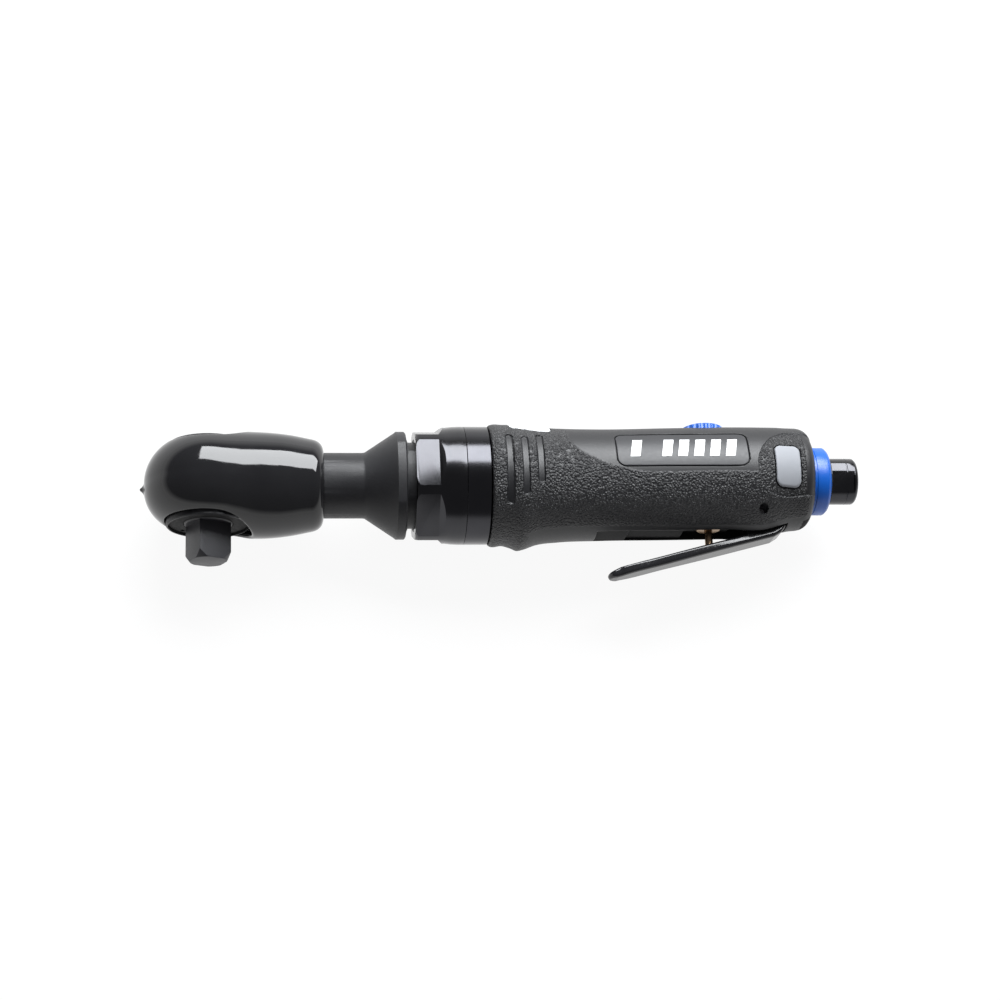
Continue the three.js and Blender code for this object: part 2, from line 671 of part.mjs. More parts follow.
function handleGrip () {
  const outside = gripBody(0, GRIP_X, GRIP_END_X)
  const cavity = latheX([[100, 0], [100, SLEEVE_R + GAP], [BLOCK_X + GAP, SLEEVE_R + GAP],
    [BLOCK_X + GAP, 0]])
  const blockSpace = cut(discX(BLOCK_R + GAP, BLOCK_X - 1.3, BLOCK_END_X + GAP, INLET_Y),
    box(150, 240, -30, BLOCK_FLAT - GAP, -30, 30))
  const slots = FINGER_SLOTS.flatMap(([x, from, to]) => {
    const near = gripSlot(x, from, to)
    return [near, near.mirror([0, 0, 1])]
  })
  const slotCuts = cut(join(...slots), gripBody(0.6, GRIP_X, 135))
  return cut(outside, cavity, blockSpace, slotCuts,
    discX(13.6, 220, 240, INLET_Y, 0, 24),
    box(146, 180, -30, -18.8, -CHANNEL_HALF, CHANNEL_HALF),
    box(180, 199, -30, -16.5, -CHANNEL_HALF, CHANNEL_HALF),
    box(198.5, 219.8, -30, BLOCK_FLAT + 0.2, -CHANNEL_HALF, CHANNEL_HALF),
    discY(VALVE_SLEEVE_R + GAP, -30, 0, VALVE_X),
    discZ(1.8, -30, 30, PIVOT.x, PIVOT.y),
    discY(DIAL_R + 0.5, DIAL_Y - 0.3, 40, VALVE_X),
    discY(REGULATOR_R + GAP, 10, 40, VALVE_X),
    pocket(PANEL, 0.9), pocket(BADGE, 1.2), pocket(LABEL, 0.8))
}

const namePlate = () => patch(PANEL, 0.15, 0.6)
const oilBadge = () => patch(BADGE, -0.15, 0.9)
const topLabel = () => patch(LABEL, 0.1, 0.5)
const leverPin = () => discZ(1.6, -9.8, 9.8, PIVOT.x, PIVOT.y)

// ---- throttle -------------------------------------------------------------------------------

// Stamped channel, drawn along its own slope and then turned about the pivot.
function throttleLever () {
  const low = -LEVER_DROP
  const side = new THREE.Shape()
  side.moveTo(-62.2, low + 0.6)
  side.lineTo(-60.6, low)
  side.lineTo(5.2, low)
  side.lineTo(9.2, low + 2.6)
  side.lineTo(10.2, low + 5.6)
  side.lineTo(3, 2.2)
  side.absarc(0, 0, 3, 0.2 * Math.PI, 0.85 * Math.PI)
  side.lineTo(-6.4, low + LEVER_FLANGE)
  side.lineTo(-56, low + LEVER_FLANGE)
  side.quadraticCurveTo(-60.5, low + LEVER_FLANGE, -62.2, low + 2.1)
  const body = solid(extruded(side, 2 * LEVER_HALF).translate(0, 0, -LEVER_HALF))
  const plan = new THREE.Shape()
  plan.moveTo(12, -LEVER_HALF)
  plan.lineTo(12, LEVER_HALF)
  plan.lineTo(-20, LEVER_HALF)
  plan.lineTo(-57, 4.2)
  plan.quadraticCurveTo(-62.4, 3.4, -62.6, 0)
  plan.quadraticCurveTo(-62.4, -3.4, -57, -4.2)
  plan.lineTo(-20, -LEVER_HALF)
  const outline = solid(extruded(plan, 30).rotateX(Math.PI / 2).translate(0, 10, 0))
  const hollow = new THREE.Shape()
  const wall = 1.2
  hollow.moveTo(20, -LEVER_HALF + wall)
  hollow.lineTo(20, LEVER_HALF - wall)
  hollow.lineTo(-20, LEVER_HALF - wall)
  hollow.lineTo(-55, 4.2 - wall)
  hollow.lineTo(-57.5, 1.6)
  hollow.lineTo(-57.5, -1.6)
  hollow.lineTo(-55, -4.2 + wall)
  hollow.lineTo(-20, -LEVER_HALF + wall)
  const inside = solid(extruded(hollow, 30).rotateX(Math.PI / 2)
    .translate(0, low + LEVER_SHEET + 30, 0))
  const tail = new THREE.Shape()
  tail.moveTo(4.6, low + LEVER_SHEET)
  tail.lineTo(8, low + 3.6)
  tail.lineTo(9, low + 5.6)
  tail.lineTo(14, low + 5)
  tail.lineTo(14, low - 2)
  tail.lineTo(4.6, low - 2)
  const lip = solid(extruded(tail, 2 * LEVER_HALF).translate(0, 0, -LEVER_HALF)).intersect(body)
  const hole = discZ(1.7, -20, 20, 0, 0)
  const lever = cut(join(cut(body.intersect(outline), inside), lip), hole)
  return lever.rotate([0, 0, LEVER_SLOPE]).translate([PIVOT.x, PIVOT.y, 0])
}

const STEM_R = 1.5
const STEM_END_Y = -25.75
const SEAT_Y = -4

function valveBushing () {
  const outside = latheY([[-17.9, 0], [-17.9, 4.4], [-17.3, VALVE_SLEEVE_R], [4.1, VALVE_SLEEVE_R],
    [4.1, 0]])
  const inside = latheY([[-30, 0], [-30, STEM_R + RUN], [SEAT_Y - 3, STEM_R + RUN],
    [SEAT_Y - 3, 2.6], [SEAT_Y, 2.6], [SEAT_Y, 4], [10, 4], [10, 0]], 16)
  const window = discX(2.4, -10, 10, INLET_Y - 0.4, 0, 8)
  return cut(outside, inside, window).translate([VALVE_X, 0, 0])
}

function throttleValve () {
  const profile = [[STEM_END_Y - 0.4, 0], [STEM_END_Y, 1], [STEM_END_Y + 0.6, STEM_R],
    [SEAT_Y - 2.6, STEM_R], [SEAT_Y - 2, 1.1], [SEAT_Y + 0.3, 1.1], [SEAT_Y + 0.3, 3.4],
    [SEAT_Y + 1.6, 3.4], [SEAT_Y + 1.9, 1.2], [SEAT_Y + 3.4, 1.2], [SEAT_Y + 3.4, 0]]
  return latheY(profile, 16).translate([VALVE_X, 0, 0])
}

function valveSpring () {
  return springX(2.3, 0.3, SEAT_Y + 2, 7, 5).rotate([0, 0, 90]).translate([VALVE_X, 0, 0])
}

const O_RING_Y = 12.5

function regulatorORing () {
  return latheY(cordProfile(5.5, 0.55, O_RING_Y), 16).translate([VALVE_X, 0, 0])
}

// Dial, stem and hollow valve spool in one piece. The rim has finger flutes.
function regulatorDial () {
  const body = latheY([[4.6, 2.9], [4.6, REGULATOR_R - 0.05], [O_RING_Y - 1, REGULATOR_R - 0.05],
    [O_RING_Y - 1, 4.9], [O_RING_Y + 1, 4.9], [O_RING_Y + 1, REGULATOR_R - 0.05],
    [DIAL_Y, REGULATOR_R - 0.05], [DIAL_Y, DIAL_R], [22.6, DIAL_R], [23.3, DIAL_R - 0.9],
    [23.3, 0], [9, 0], [9, 2.9]])
  const flutes = []
  for (let i = 0; i < 12; i++) {
    const angle = 2 * Math.PI * (i + 0.5) / 12
    const [x, z] = [Math.cos(angle), Math.sin(angle)].map((part) => part * (DIAL_R + 0.2))
    flutes.push(discY(1.1, DIAL_Y + 0.5, 30, x, z, 6))
  }
  return cut(body, ...flutes).translate([VALVE_X, 0, 0])
}

// Profile of an O-ring: a pentagon of the cord's radius.
function cordProfile (radius, cordRadius, along) {
  return arcPoints(cordRadius, 0, 2 * Math.PI * 4 / 5, 4).map(([a, b]) => [along + a, radius + b])
}

// ---- inlet and exhaust ----------------------------------------------------------------------

function inletORing () {
  return latheX(cordProfile(7.5, 0.4, 220), 16).translate([0, INLET_Y, 0])
}

const DEFLECTOR_X = 229.2
const DEFLECTOR_END_X = 237
const SCREEN_X = 231

function inletBushing () {
  const outside = latheX([[206, 0], [206, SCREW_R], [219, SCREW_R], [219, 6.9], [221, 6.9],
    [221, SCREW_R], [222.3, SCREW_R], [222.3, INLET_R], [247.5, INLET_R], [INLET_END_X, 8],
    [INLET_END_X, 0]], 24)
  const bore = latheX([[200, 0], [200, AIRWAY_R], [SCREEN_X - 1.2, AIRWAY_R],
    [SCREEN_X - 1.2, INLET_BORE_R], [247.7, INLET_BORE_R], [250, 7.4], [250, 0]], 20)
  const ringGroove = cut(discX(INLET_R + 1, 237.3, 238.1), discX(8.3, 237, 239))
  const flats = [-1, 1].map((side) => box(238.5, 243.8, -20, 20, side * 8.2, side * 12))
  return cut(outside, bore, ringGroove, flats[1], flats[0]).translate([0, INLET_Y, 0])
}

function inletScreen () {
  const disc = discX(5.4, SCREEN_X, SCREEN_X + 0.8, 0, 0, 12)
  const holes = [discX(0.9, 200, 250, 0, 0, 4)]
  for (let i = 0; i < 6; i++) {
    const [, y, z] = aroundX(3.1, i * Math.PI / 3)
    holes.push(discX(0.9, 200, 250, y, z, 4))
  }
  return cut(disc, ...holes).translate([0, INLET_Y, 0])
}

function exhaustMuffler () {
  return ringX(9.3, 13.2, 222.7, 228.6).translate([0, INLET_Y, 0])
}

function exhaustDeflector () {
  const inner = INLET_R + RUN
  const ring = latheX([[DEFLECTOR_X, inner], [DEFLECTOR_X, 12.9], [231.6, 12.9], [232.2, 12.2],
    [233.2, 12.2], [233.5, 13.1], [235.8, 13.1], [DEFLECTOR_END_X, 11.9],
    [DEFLECTOR_END_X, inner]], 24)
  const ports = []
  for (let i = 0; i < 4; i++) {
    const port = box(228, 233, 10.2, 11.8, -1.6, 1.6)
    ports.push(turnedX(port, 150 + 20 * i))
  }
  return cut(ring, ...ports).translate([0, INLET_Y, 0])
}

function deflectorSnapRing () {
  const ring = cut(ringX(8.5, 9.7, 237.4, 238), box(237, 239, -12, 0, -1.5, 1.5))
  return ring.translate([0, INLET_Y, 0])
}

// ---- assembly -------------------------------------------------------------------------------

const FINISHES = {
  bootRubber: { color: 0x0a0a0b, roughness: 0.18, metalness: 0 },
  blackSteel: { color: 0x1b1b1d, roughness: 0.35, metalness: 0.9 },
  polishedBlack: { color: 0x0d0d0f, roughness: 0.15, metalness: 0.9 },
  bareSteel: { color: 0x8c8d90, roughness: 0.3, metalness: 1 },
  composite: { color: 0x26272a, roughness: 0.55, metalness: 0 },
  blue: { color: 0x1f5fbf, roughness: 0.35, metalness: 0 },
  bronze: { color: 0x8a6a4a, roughness: 0.3, metalness: 1 },
  silver: { color: 0xc9cbce, roughness: 0.3, metalness: 0.8 },
  label: { color: 0xf2f3f5, roughness: 0.4, metalness: 0 },
  plate: { color: 0x303134, roughness: 0.4, metalness: 0 },
  rubber: { color: 0x161616, roughness: 0.8, metalness: 0 },
  felt: { color: 0x6d6a62, roughness: 0.95, metalness: 0 },
  vane: { color: 0x5b3f24, roughness: 0.7, metalness: 0 }
}

const materials = {}
Object.entries(FINISHES).forEach(([name, finish]) => {
  materials[name] = new THREE.MeshStandardMaterial(finish)
})

const ratchet = new THREE.Group()
ratchet.name = 'air_ratchet'
ratchet.position.y = AXIS_Y

function add (name, body, finish) {
  const mesh = new THREE.Mesh(geometryOf(body), materials[finish])
  mesh.name = name
  ratchet.add(mesh)
}

add('head_boot', headBoot(), 'bootRubber')
add('ratchet_housing', ratchetHousing(), 'blackSteel')
add('anvil', anvil(), 'polishedBlack')
add('socket_detent_ball', detentBall(), 'bareSteel')
add('socket_detent_spring', detentSpring(), 'bareSteel')
add('anvil_retaining_plate', retainingPlate(), 'blackSteel')
add('anvil_thrust_washer', thrustWasher(), 'bareSteel')
add('pawl', pawl(), 'bareSteel')
add('pawl_pin', pawlPin(), 'bareSteel')
add('reverse_knob', reverseKnob(), 'blackSteel')
add('reverse_plunger', reversePlunger(), 'bareSteel')
add('reverse_plunger_spring', plungerSpring(), 'bareSteel')
add('ratchet_yoke', ratchetYoke(), 'bareSteel')
add('crankshaft', crankshaft(), 'bareSteel')
add('drive_bushing', driveBushing(), 'bronze')
add('crank_needle_bearing', bearing(7.6, 9.6, 36, 56), 'bareSteel')
add('carrier_bearing', bearing(9.25, 14.1, 66.2, 72.6), 'bareSteel')
for (let i = 0; i < PLANETS; i++) {
  add(`planet_gear_${i + 1}`, planetGear(i), 'bareSteel')
  add(`planet_pin_${i + 1}`, planetPin(i), 'bareSteel')
}
add('ring_gear', ringGear(), 'bareSteel')
add('nut_retaining_ring', nutRetainingRing(), 'bareSteel')
add('clamp_nut', clampNut(), 'polishedBlack')
add('motor_housing', motorHousing(), 'polishedBlack')
add('front_end_plate', endPlate(95.2, 100.9), 'bareSteel')
add('front_rotor_bearing', bearing(SHAFT_R + RUN, 8.05, 95.6, 100.5), 'bareSteel')
add('motor_cylinder', cylinder(), 'bareSteel')
add('cylinder_dowel', discX(DOWEL_R, 95.4, 154.3, DOWEL_Y, 0, 8), 'bareSteel')
add('rotor', rotor(), 'bareSteel')
for (let i = 0; i < VANES; i++) {
  add(`vane_${i + 1}`, vane(i), 'vane')
}
add('rear_end_plate', endPlate(149.3, 154.7), 'bareSteel')
add('rear_rotor_bearing', bearing(SHAFT_R + RUN, 8.05, 149.7, 154.3), 'bareSteel')
add('handle_grip', handleGrip(), 'composite')
add('name_plate', namePlate(), 'plate')
add('oil_badge', oilBadge(), 'silver')
add('top_label', topLabel(), 'label')
add('lever_pin', leverPin(), 'bareSteel')
add('throttle_lever', throttleLever(), 'polishedBlack')
add('valve_bushing', valveBushing(), 'bronze')
add('throttle_valve', throttleValve(), 'bronze')
add('valve_spring', valveSpring(), 'bareSteel')
add('regulator_dial', regulatorDial(), 'blue')
add('regulator_o_ring', regulatorORing(), 'rubber')
add('inlet_bushing', inletBushing(), 'blackSteel')
add('inlet_screen', inletScreen(), 'bronze')
add('inlet_o_ring', inletORing(), 'rubber')
add('exhaust_muffler', exhaustMuffler(), 'felt')
add('exhaust_deflector', exhaustDeflector(), 'blue')
add('deflector_snap_ring', deflectorSnapRing(), 'blackSteel')

export default ratchet
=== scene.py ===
"""Looks of the air ratchet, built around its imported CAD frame.

Shapes are drawn in millimetres about the motor axis, as in the part, and become metres in the row
frame when their mesh is made. +X runs from the head to the air inlet, the square drive points to
-Y and the regulator dial faces +Y.
"""

import json
import math

import bmesh
import bpy
import numpy as np
from mathutils import Matrix, Vector


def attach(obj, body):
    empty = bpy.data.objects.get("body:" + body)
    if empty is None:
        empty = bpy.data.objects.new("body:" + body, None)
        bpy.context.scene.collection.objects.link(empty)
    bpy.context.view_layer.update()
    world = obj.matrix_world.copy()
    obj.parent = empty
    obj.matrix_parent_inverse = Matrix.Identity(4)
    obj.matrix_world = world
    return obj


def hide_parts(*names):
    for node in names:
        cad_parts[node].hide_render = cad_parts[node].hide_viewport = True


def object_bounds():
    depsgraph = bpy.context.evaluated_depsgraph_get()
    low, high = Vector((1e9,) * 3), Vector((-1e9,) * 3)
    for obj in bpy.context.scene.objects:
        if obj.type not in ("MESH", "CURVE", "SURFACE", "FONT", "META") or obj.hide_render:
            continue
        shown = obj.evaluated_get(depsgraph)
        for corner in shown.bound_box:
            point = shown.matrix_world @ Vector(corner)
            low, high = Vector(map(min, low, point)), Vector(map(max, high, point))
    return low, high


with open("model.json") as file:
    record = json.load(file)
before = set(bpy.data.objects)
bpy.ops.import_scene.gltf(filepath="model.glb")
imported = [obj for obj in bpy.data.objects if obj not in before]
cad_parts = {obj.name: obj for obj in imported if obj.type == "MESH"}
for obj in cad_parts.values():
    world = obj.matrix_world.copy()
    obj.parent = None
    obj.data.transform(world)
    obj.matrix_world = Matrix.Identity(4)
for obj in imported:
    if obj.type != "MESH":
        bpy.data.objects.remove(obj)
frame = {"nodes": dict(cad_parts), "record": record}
CAD_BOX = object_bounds()

MM = 0.001
AXIS_Y = 29.7  # motor axis above the drive's end face
GAP = 0.3  # clearance round a piece that is let into another
INLET_Y = 1.75  # axis of the inlet and valve block
VALVE_X = 190  # axis of the throttle valve and the regulator
DIAL_R = 8.35
DIAL_Y = 18.4  # underside of the dial's fluted rim


# ---- camera -----------------------------------------------------------------------------------

CAMERA_TILT = math.radians(17.5)  # from straight above towards -Y
CAMERA_YAW = math.radians(6.5)  # towards the head
CAMERA_DISTANCE = 835.7
CAMERA_SLIDE = (109.6, -5.41)  # of the aim, right and up in the view
CAMERA_LENS = 80


def make_camera():
    up = Vector((0, math.cos(CAMERA_TILT), math.sin(CAMERA_TILT)))
    level = Vector((0, -math.sin(CAMERA_TILT), math.cos(CAMERA_TILT)))
    back = level * math.cos(CAMERA_YAW) - Vector((1, 0, 0)) * math.sin(CAMERA_YAW)
    right = up.cross(back)
    aim = Vector((0, AXIS_Y, 0)) + right * CAMERA_SLIDE[0] + up * CAMERA_SLIDE[1]
    data = bpy.data.cameras.new("view")
    data.lens = CAMERA_LENS
    data.sensor_width = 36
    data.clip_start, data.clip_end = 0.01, 20
    camera = bpy.data.objects.new("view", data)
    turn = Matrix((right, up, back)).transposed().to_4x4()
    camera.matrix_world = Matrix.Translation((aim + back * CAMERA_DISTANCE) * MM) @ turn
    bpy.context.scene.collection.objects.link(camera)
    bpy.context.scene.camera = camera


# ---- mesh helpers -----------------------------------------------------------------------------

SMOOTH_ANGLE = math.radians(32)


def to_row(points):
    """Drawing coordinates to the row frame, in metres."""
    return (np.asarray(points, float) + (0, AXIS_Y, 0)) * MM


def mesh_object(name, points, faces):
    mesh = bpy.data.meshes.new(name)
    mesh.from_pydata(to_row(points).tolist(), [], faces)
    mesh.update()
    piece = bpy.data.objects.new(name, mesh)
    bpy.context.scene.collection.objects.link(piece)
    return piece


def face_outwards(piece):
    mesh = bmesh.new()
    mesh.from_mesh(piece.data)
    bmesh.ops.remove_doubles(mesh, verts=mesh.verts, dist=1e-7)
    bmesh.ops.recalc_face_normals(mesh, faces=mesh.faces)
    mesh.to_mesh(piece.data)
    mesh.free()


def lathe(name, profile, axis="X", segments=96, centre=(0, 0, 0)):
    """A solid of revolution. The profile is a list of (along, radius); where it leaves the axis
    open, it closes on itself."""
    points, faces, rings = [], [], []
    for along, radius in profile:
        if radius == 0:
            rings.append([len(points)])
            points.append((along, 0, 0))
        else:
            rings.append(list(range(len(points), len(points) + segments)))
            for k in range(segments):
                angle = 2 * math.pi * k / segments
                points.append((along, radius * math.cos(angle), radius * math.sin(angle)))
    pairs = list(zip(rings, rings[1:]))
    if profile[0][1] > 0:
        pairs.append((rings[-1], rings[0]))
    for a, b in pairs:
        for k in range(segments):
            n = (k + 1) % segments
            if len(a) > 1 and len(b) > 1:
                faces.append((a[k], a[n], b[n], b[k]))
            elif len(b) > 1:
                faces.append((a[0], b[n], b[k]))
            elif len(a) > 1:
                faces.append((a[k], a[n], b[0]))
    order = {"X": (0, 1, 2), "Y": (2, 0, 1), "Z": (1, 2, 0)}[axis]
    placed = np.array(points)[:, order] + centre
    piece = mesh_object(name, placed, faces)
    face_outwards(piece)
    return piece


def prism(name, outline, low, high, axis="Z"):
    """An outline swept along an axis. Its pairs are the two axes that follow the sweep's axis."""
    n = len(outline)
    flat = [(low, u, v) for u, v in outline] + [(high, u, v) for u, v in outline]
    faces = [tuple(range(n)), tuple(range(2 * n - 1, n - 1, -1))]
    faces += [(k, (k + 1) % n, (k + 1) % n + n, k + n) for k in range(n)]
    order = {"X": (0, 1, 2), "Y": (2, 0, 1), "Z": (1, 2, 0)}[axis]
    piece = mesh_object(name, np.array(flat)[:, order], faces)
    face_outwards(piece)
    return piece


def block(name, x, y, z):
    return prism(name, [(x[0], y[0]), (x[1], y[0]), (x[1], y[1]), (x[0], y[1])], z[0], z[1])


def turned(piece, axis, degrees, about=(0, 0, 0)):
    """Turns a piece's mesh about an axis through a point of the drawing."""
    centre = Vector(to_row(about))
    turn = Matrix.Rotation(math.radians(degrees), 4, axis)
    piece.data.transform(Matrix.Translation(centre) @ turn @ Matrix.Translation(-centre))
    return piece


def apply_modifiers(piece):
    bpy.context.view_layer.update()
    shown = piece.evaluated_get(bpy.context.evaluated_depsgraph_get())
    old = piece.data
    piece.data = bpy.data.meshes.new_from_object(shown)
    piece.modifiers.clear()
    bpy.data.meshes.remove(old)
    piece.data.name = piece.name


def combine(piece, others, operation):
    for other in others:
        step = piece.modifiers.new("combine", "BOOLEAN")
        step.operation = operation
        step.solver = "EXACT"
        step.object = other
    apply_modifiers(piece)
    for other in others:
        bpy.data.objects.remove(other)
    return piece


def cut(piece, *tools):
    return combine(piece, tools, "DIFFERENCE")


def join(piece, *others):
    return combine(piece, others, "UNION")


def bevel(piece, width, segments=2, angle=30):
    step = piece.modifiers.new("bevel", "BEVEL")
    step.width = width * MM
    step.segments = segments
    step.limit_method = "ANGLE"
    step.angle_limit = math.radians(angle)
    step.harden_normals = False
    apply_modifiers(piece)
    return piece


def shade(piece, angle=SMOOTH_ANGLE):
    for face in piece.data.polygons:
        face.use_smooth = True
    piece.data.set_sharp_from_angle(angle=angle)


def finished(piece, body, nodes, material):
    """Hands a piece over to the frame."""
    piece.data.materials.clear()
    piece.data.materials.append(material)
    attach(piece, body)
    if nodes:
        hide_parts(*nodes)
    return piece


# ---- rounded solids from a distance field -----------------------------------------------------

def smooth_max(a, b, k):
    """The larger of two distances, with the crease between them rounded by about k."""
    h = np.maximum(k - np.abs(a - b), 0) / k
    return np.maximum(a, b) + h * h * k / 4


def smooth_min(a, b, k):
    return -smooth_max(-a, -b, k)


def smooth_step(value, low, high):
    t = np.clip((value - low) / (high - low), 0, 1)
    return t * t * (3 - 2 * t)


def stations(pairs):
    """Straight runs between points of (x, value), as the two columns np.interp takes."""
    return tuple(zip(*pairs))


def through(points, column):
    """A smooth curve through points of (x, value...), as the two columns np.interp takes."""
    xs = np.array([p[0] for p in points], float)
    ys = np.array([p[column] for p in points], float)
    slope = np.gradient(ys, xs)
    dense_x, dense_y = [], []
    for i in range(len(xs) - 1):
        t = np.linspace(0, 1, 16, endpoint=False)
        width = xs[i + 1] - xs[i]
        dense_x.append(xs[i] + t * width)
        dense_y.append((2 * t**3 - 3 * t**2 + 1) * ys[i] + (t**3 - 2 * t**2 + t) * width * slope[i]
                       + (3 * t**2 - 2 * t**3) * ys[i + 1] + (t**3 - t**2) * width * slope[i + 1])
    return np.append(np.concatenate(dense_x), xs[-1]), np.append(np.concatenate(dense_y), ys[-1])


def surface_points(field, low, high, cell):
    """Vertices and quads where a distance field crosses zero. The field is negative inside."""
    axes = [np.arange(a - 2 * cell, b + 3 * cell, cell) for a, b in zip(low, high)]
    value = field(*np.meshgrid(*axes, indexing="ij", sparse=True))
    inside = value < 0
    corners = sum(inside[a:a + inside.shape[0] - 1, b:b + inside.shape[1] - 1,
                         c:c + inside.shape[2] - 1].astype(np.int8)
                  for a in (0, 1) for b in (0, 1) for c in (0, 1))
    active = (corners > 0) & (corners < 8)
    cells = np.argwhere(active)
    number = np.full(active.shape, -1)
    number[active] = np.arange(len(cells))
    total = np.zeros((len(cells), 3))
    hits = np.zeros(len(cells))
    quads = []
    for axis in range(3):
        u, v = (axis + 1) % 3, (axis + 2) % 3
        unit = np.eye(3, dtype=int)
        for a in (0, 1):
            for b in (0, 1):
                start = cells + a * unit[u] + b * unit[v]
                end = start + unit[axis]
                d0, d1 = value[tuple(start.T)], value[tuple(end.T)]
                crossed = (d0 < 0) != (d1 < 0)
                share = np.where(crossed, d0 / np.where(crossed, d0 - d1, 1), 0)
                point = start + share[:, None] * unit[axis]
                total[crossed] += point[crossed]
                hits[crossed] += 1
        first = np.take(inside, range(inside.shape[axis] - 1), axis)
        second = np.take(inside, range(1, inside.shape[axis]), axis)
        edges = np.argwhere(first != second)
        flip = first[tuple(edges.T)]
        around = [number[tuple((edges - a * unit[u] - b * unit[v]).T)]
                  for a, b in ((0, 0), (1, 0), (1, 1), (0, 1))]
        quad = np.stack(around, axis=1)
        quads.append(np.where(flip[:, None], quad, quad[:, ::-1]))
    points = np.array([a[0] for a in axes]) + total / hits[:, None] * cell
    return points, np.concatenate(quads)


def gradient(field, points, step=0.02):
    slopes = []
    for axis in range(3):
        shift = np.zeros(3)
        shift[axis] = step
        ahead, behind = points + shift, points - shift
        slopes.append((field(*ahead.T) - field(*behind.T)) / (2 * step))
    return np.stack(slopes, axis=1)


def moulded(name, field, low, high, cell):
    """A piece from a distance field, its vertices settled on the field's zero and its shading
    taken from the field's own slope."""
    points, quads = surface_points(field, low, high, cell)
    for _ in range(4):
        slope = gradient(field, points)
        length = np.maximum((slope**2).sum(1), 0.05)
        move = -(field(*points.T) / length)[:, None] * slope
        reach = np.linalg.norm(move, axis=1, keepdims=True)
        points += move * np.minimum(1, 0.4 * cell / np.maximum(reach, 1e-9))
    piece = mesh_object(name, points, quads.tolist())
    slope = gradient(field, points)
    slope /= np.maximum(np.linalg.norm(slope, axis=1, keepdims=True), 1e-9)
    for face in piece.data.polygons:
        face.use_smooth = True
    piece.data.normals_split_custom_set_from_vertices(slope.tolist())
    return piece, points


def paint(piece, name, values):
    """A number for each vertex that a material can read."""
    layer = piece.data.attributes.new(name, "FLOAT", "POINT")
    layer.data.foreach_set("value", np.asarray(values, np.float32))


# ---- materials --------------------------------------------------------------------------------

class Nodes:
    """Short names for the nodes of one material."""

    def __init__(self, name):
        self.material = bpy.data.materials.new(name)
        self.material.use_nodes = True
        self.tree = self.material.node_tree
        self.shader = self.tree.nodes["Principled BSDF"]
        self.where = self.new("ShaderNodeTexCoord").outputs["Object"]

    def new(self, kind, **settings):
        node = self.tree.nodes.new(kind)
        for key, value in settings.items():
            setattr(node, key, value)
        return node

    def link(self, source, target):
        self.tree.links.new(source, target)

    def noise(self, size, detail=3.0, rough=0.5, stretch=(1, 1, 1), distortion=0.0):
        """Noise with features of about size millimetres."""
        mapping = self.new("ShaderNodeMapping")
        mapping.inputs["Scale"].default_value = [s / (size * MM) for s in stretch]
        self.link(self.where, mapping.inputs["Vector"])
        node = self.new("ShaderNodeTexNoise")
        node.inputs["Scale"].default_value = 1
        node.inputs["Detail"].default_value = detail
        node.inputs["Roughness"].default_value = rough
        node.inputs["Distortion"].default_value = distortion
        self.link(mapping.outputs[0], node.inputs["Vector"])
        return node.outputs["Fac"]

    def voronoi(self, size, feature="F1"):
        mapping = self.new("ShaderNodeMapping")
        mapping.inputs["Scale"].default_value = [1 / (size * MM)] * 3
        self.link(self.where, mapping.inputs["Vector"])
        node = self.new("ShaderNodeTexVoronoi", feature=feature)
        node.inputs["Scale"].default_value = 1
        self.link(mapping.outputs[0], node.inputs["Vector"])
        return node.outputs["Distance"]

    def spread(self, source, low, high, to_low, to_high):
        node = self.new("ShaderNodeMapRange")
        for key, value in (("From Min", low), ("From Max", high), ("To Min", to_low),
                           ("To Max", to_high)):
            node.inputs[key].default_value = value
        self.link(source, node.inputs["Value"])
        return node.outputs[0]

    def math(self, operation, a, b):
        node = self.new("ShaderNodeMath", operation=operation)
        for slot, value in zip(node.inputs, (a, b)):
            if isinstance(value, (int, float)):
                slot.default_value = value
            else:
                self.link(value, slot)
        return node.outputs[0]

    def mix(self, share, a, b):
        node = self.new("ShaderNodeMix", data_type="RGBA")
        self.link(share, node.inputs["Factor"])
        for key, value in (("A", a), ("B", b)):
            slot = [s for s in node.inputs if s.name == key and s.type == "RGBA"][0]
            if isinstance(value, tuple):
                slot.default_value = (*value, 1)
            else:
                self.link(value, slot)
        return [s for s in node.outputs if s.type == "RGBA"][0]

    def attribute(self, name):
        return self.new("ShaderNodeAttribute", attribute_name=name).outputs["Fac"]

    def colour(self, source):
        self.link(source, self.shader.inputs["Base Color"])

    def roughness(self, source):
        self.link(source, self.shader.inputs["Roughness"])

    def bump(self, height, depth, strength=1.0):
        """Relief whose height runs from 0 to 1 over depth millimetres."""
        node = self.new("ShaderNodeBump")
        node.inputs["Distance"].default_value = depth * MM
        node.inputs["Strength"].default_value = strength
        self.link(height, node.inputs["Height"])
        self.link(node.outputs[0], self.shader.inputs["Normal"])

    def set(self, **values):
        for key, value in values.items():
            self.shader.inputs[key.replace("_", " ")].default_value = value


def boot_rubber():
    n = Nodes("boot_rubber")
    cloud = n.noise(14, 2)
    n.colour(n.mix(cloud, (0.006, 0.006, 0.007), (0.012, 0.012, 0.013)))
    n.roughness(n.spread(n.noise(5, 4), 0.3, 0.7, 0.05, 0.10))
    n.bump(n.noise(9, 1), 0.12, 0.5)
    n.set(IOR=1.5)
    return n.material


def turned_metal(name, dark, light, rough, metallic=1.0, lines=(40, 1, 1), depth=0.004, grain=0.6):
    """Metal with fine machining lines and a little grain."""
    n = Nodes(name)
    patches = n.noise(7, 3)
    n.colour(n.mix(patches, dark, light))
    fine = n.noise(grain, 3, 0.6, stretch=lines)
    n.roughness(n.spread(fine, 0.25, 0.75, rough[0], rough[1]))
    n.bump(fine, depth)
    n.set(Metallic=metallic)
    return n.material


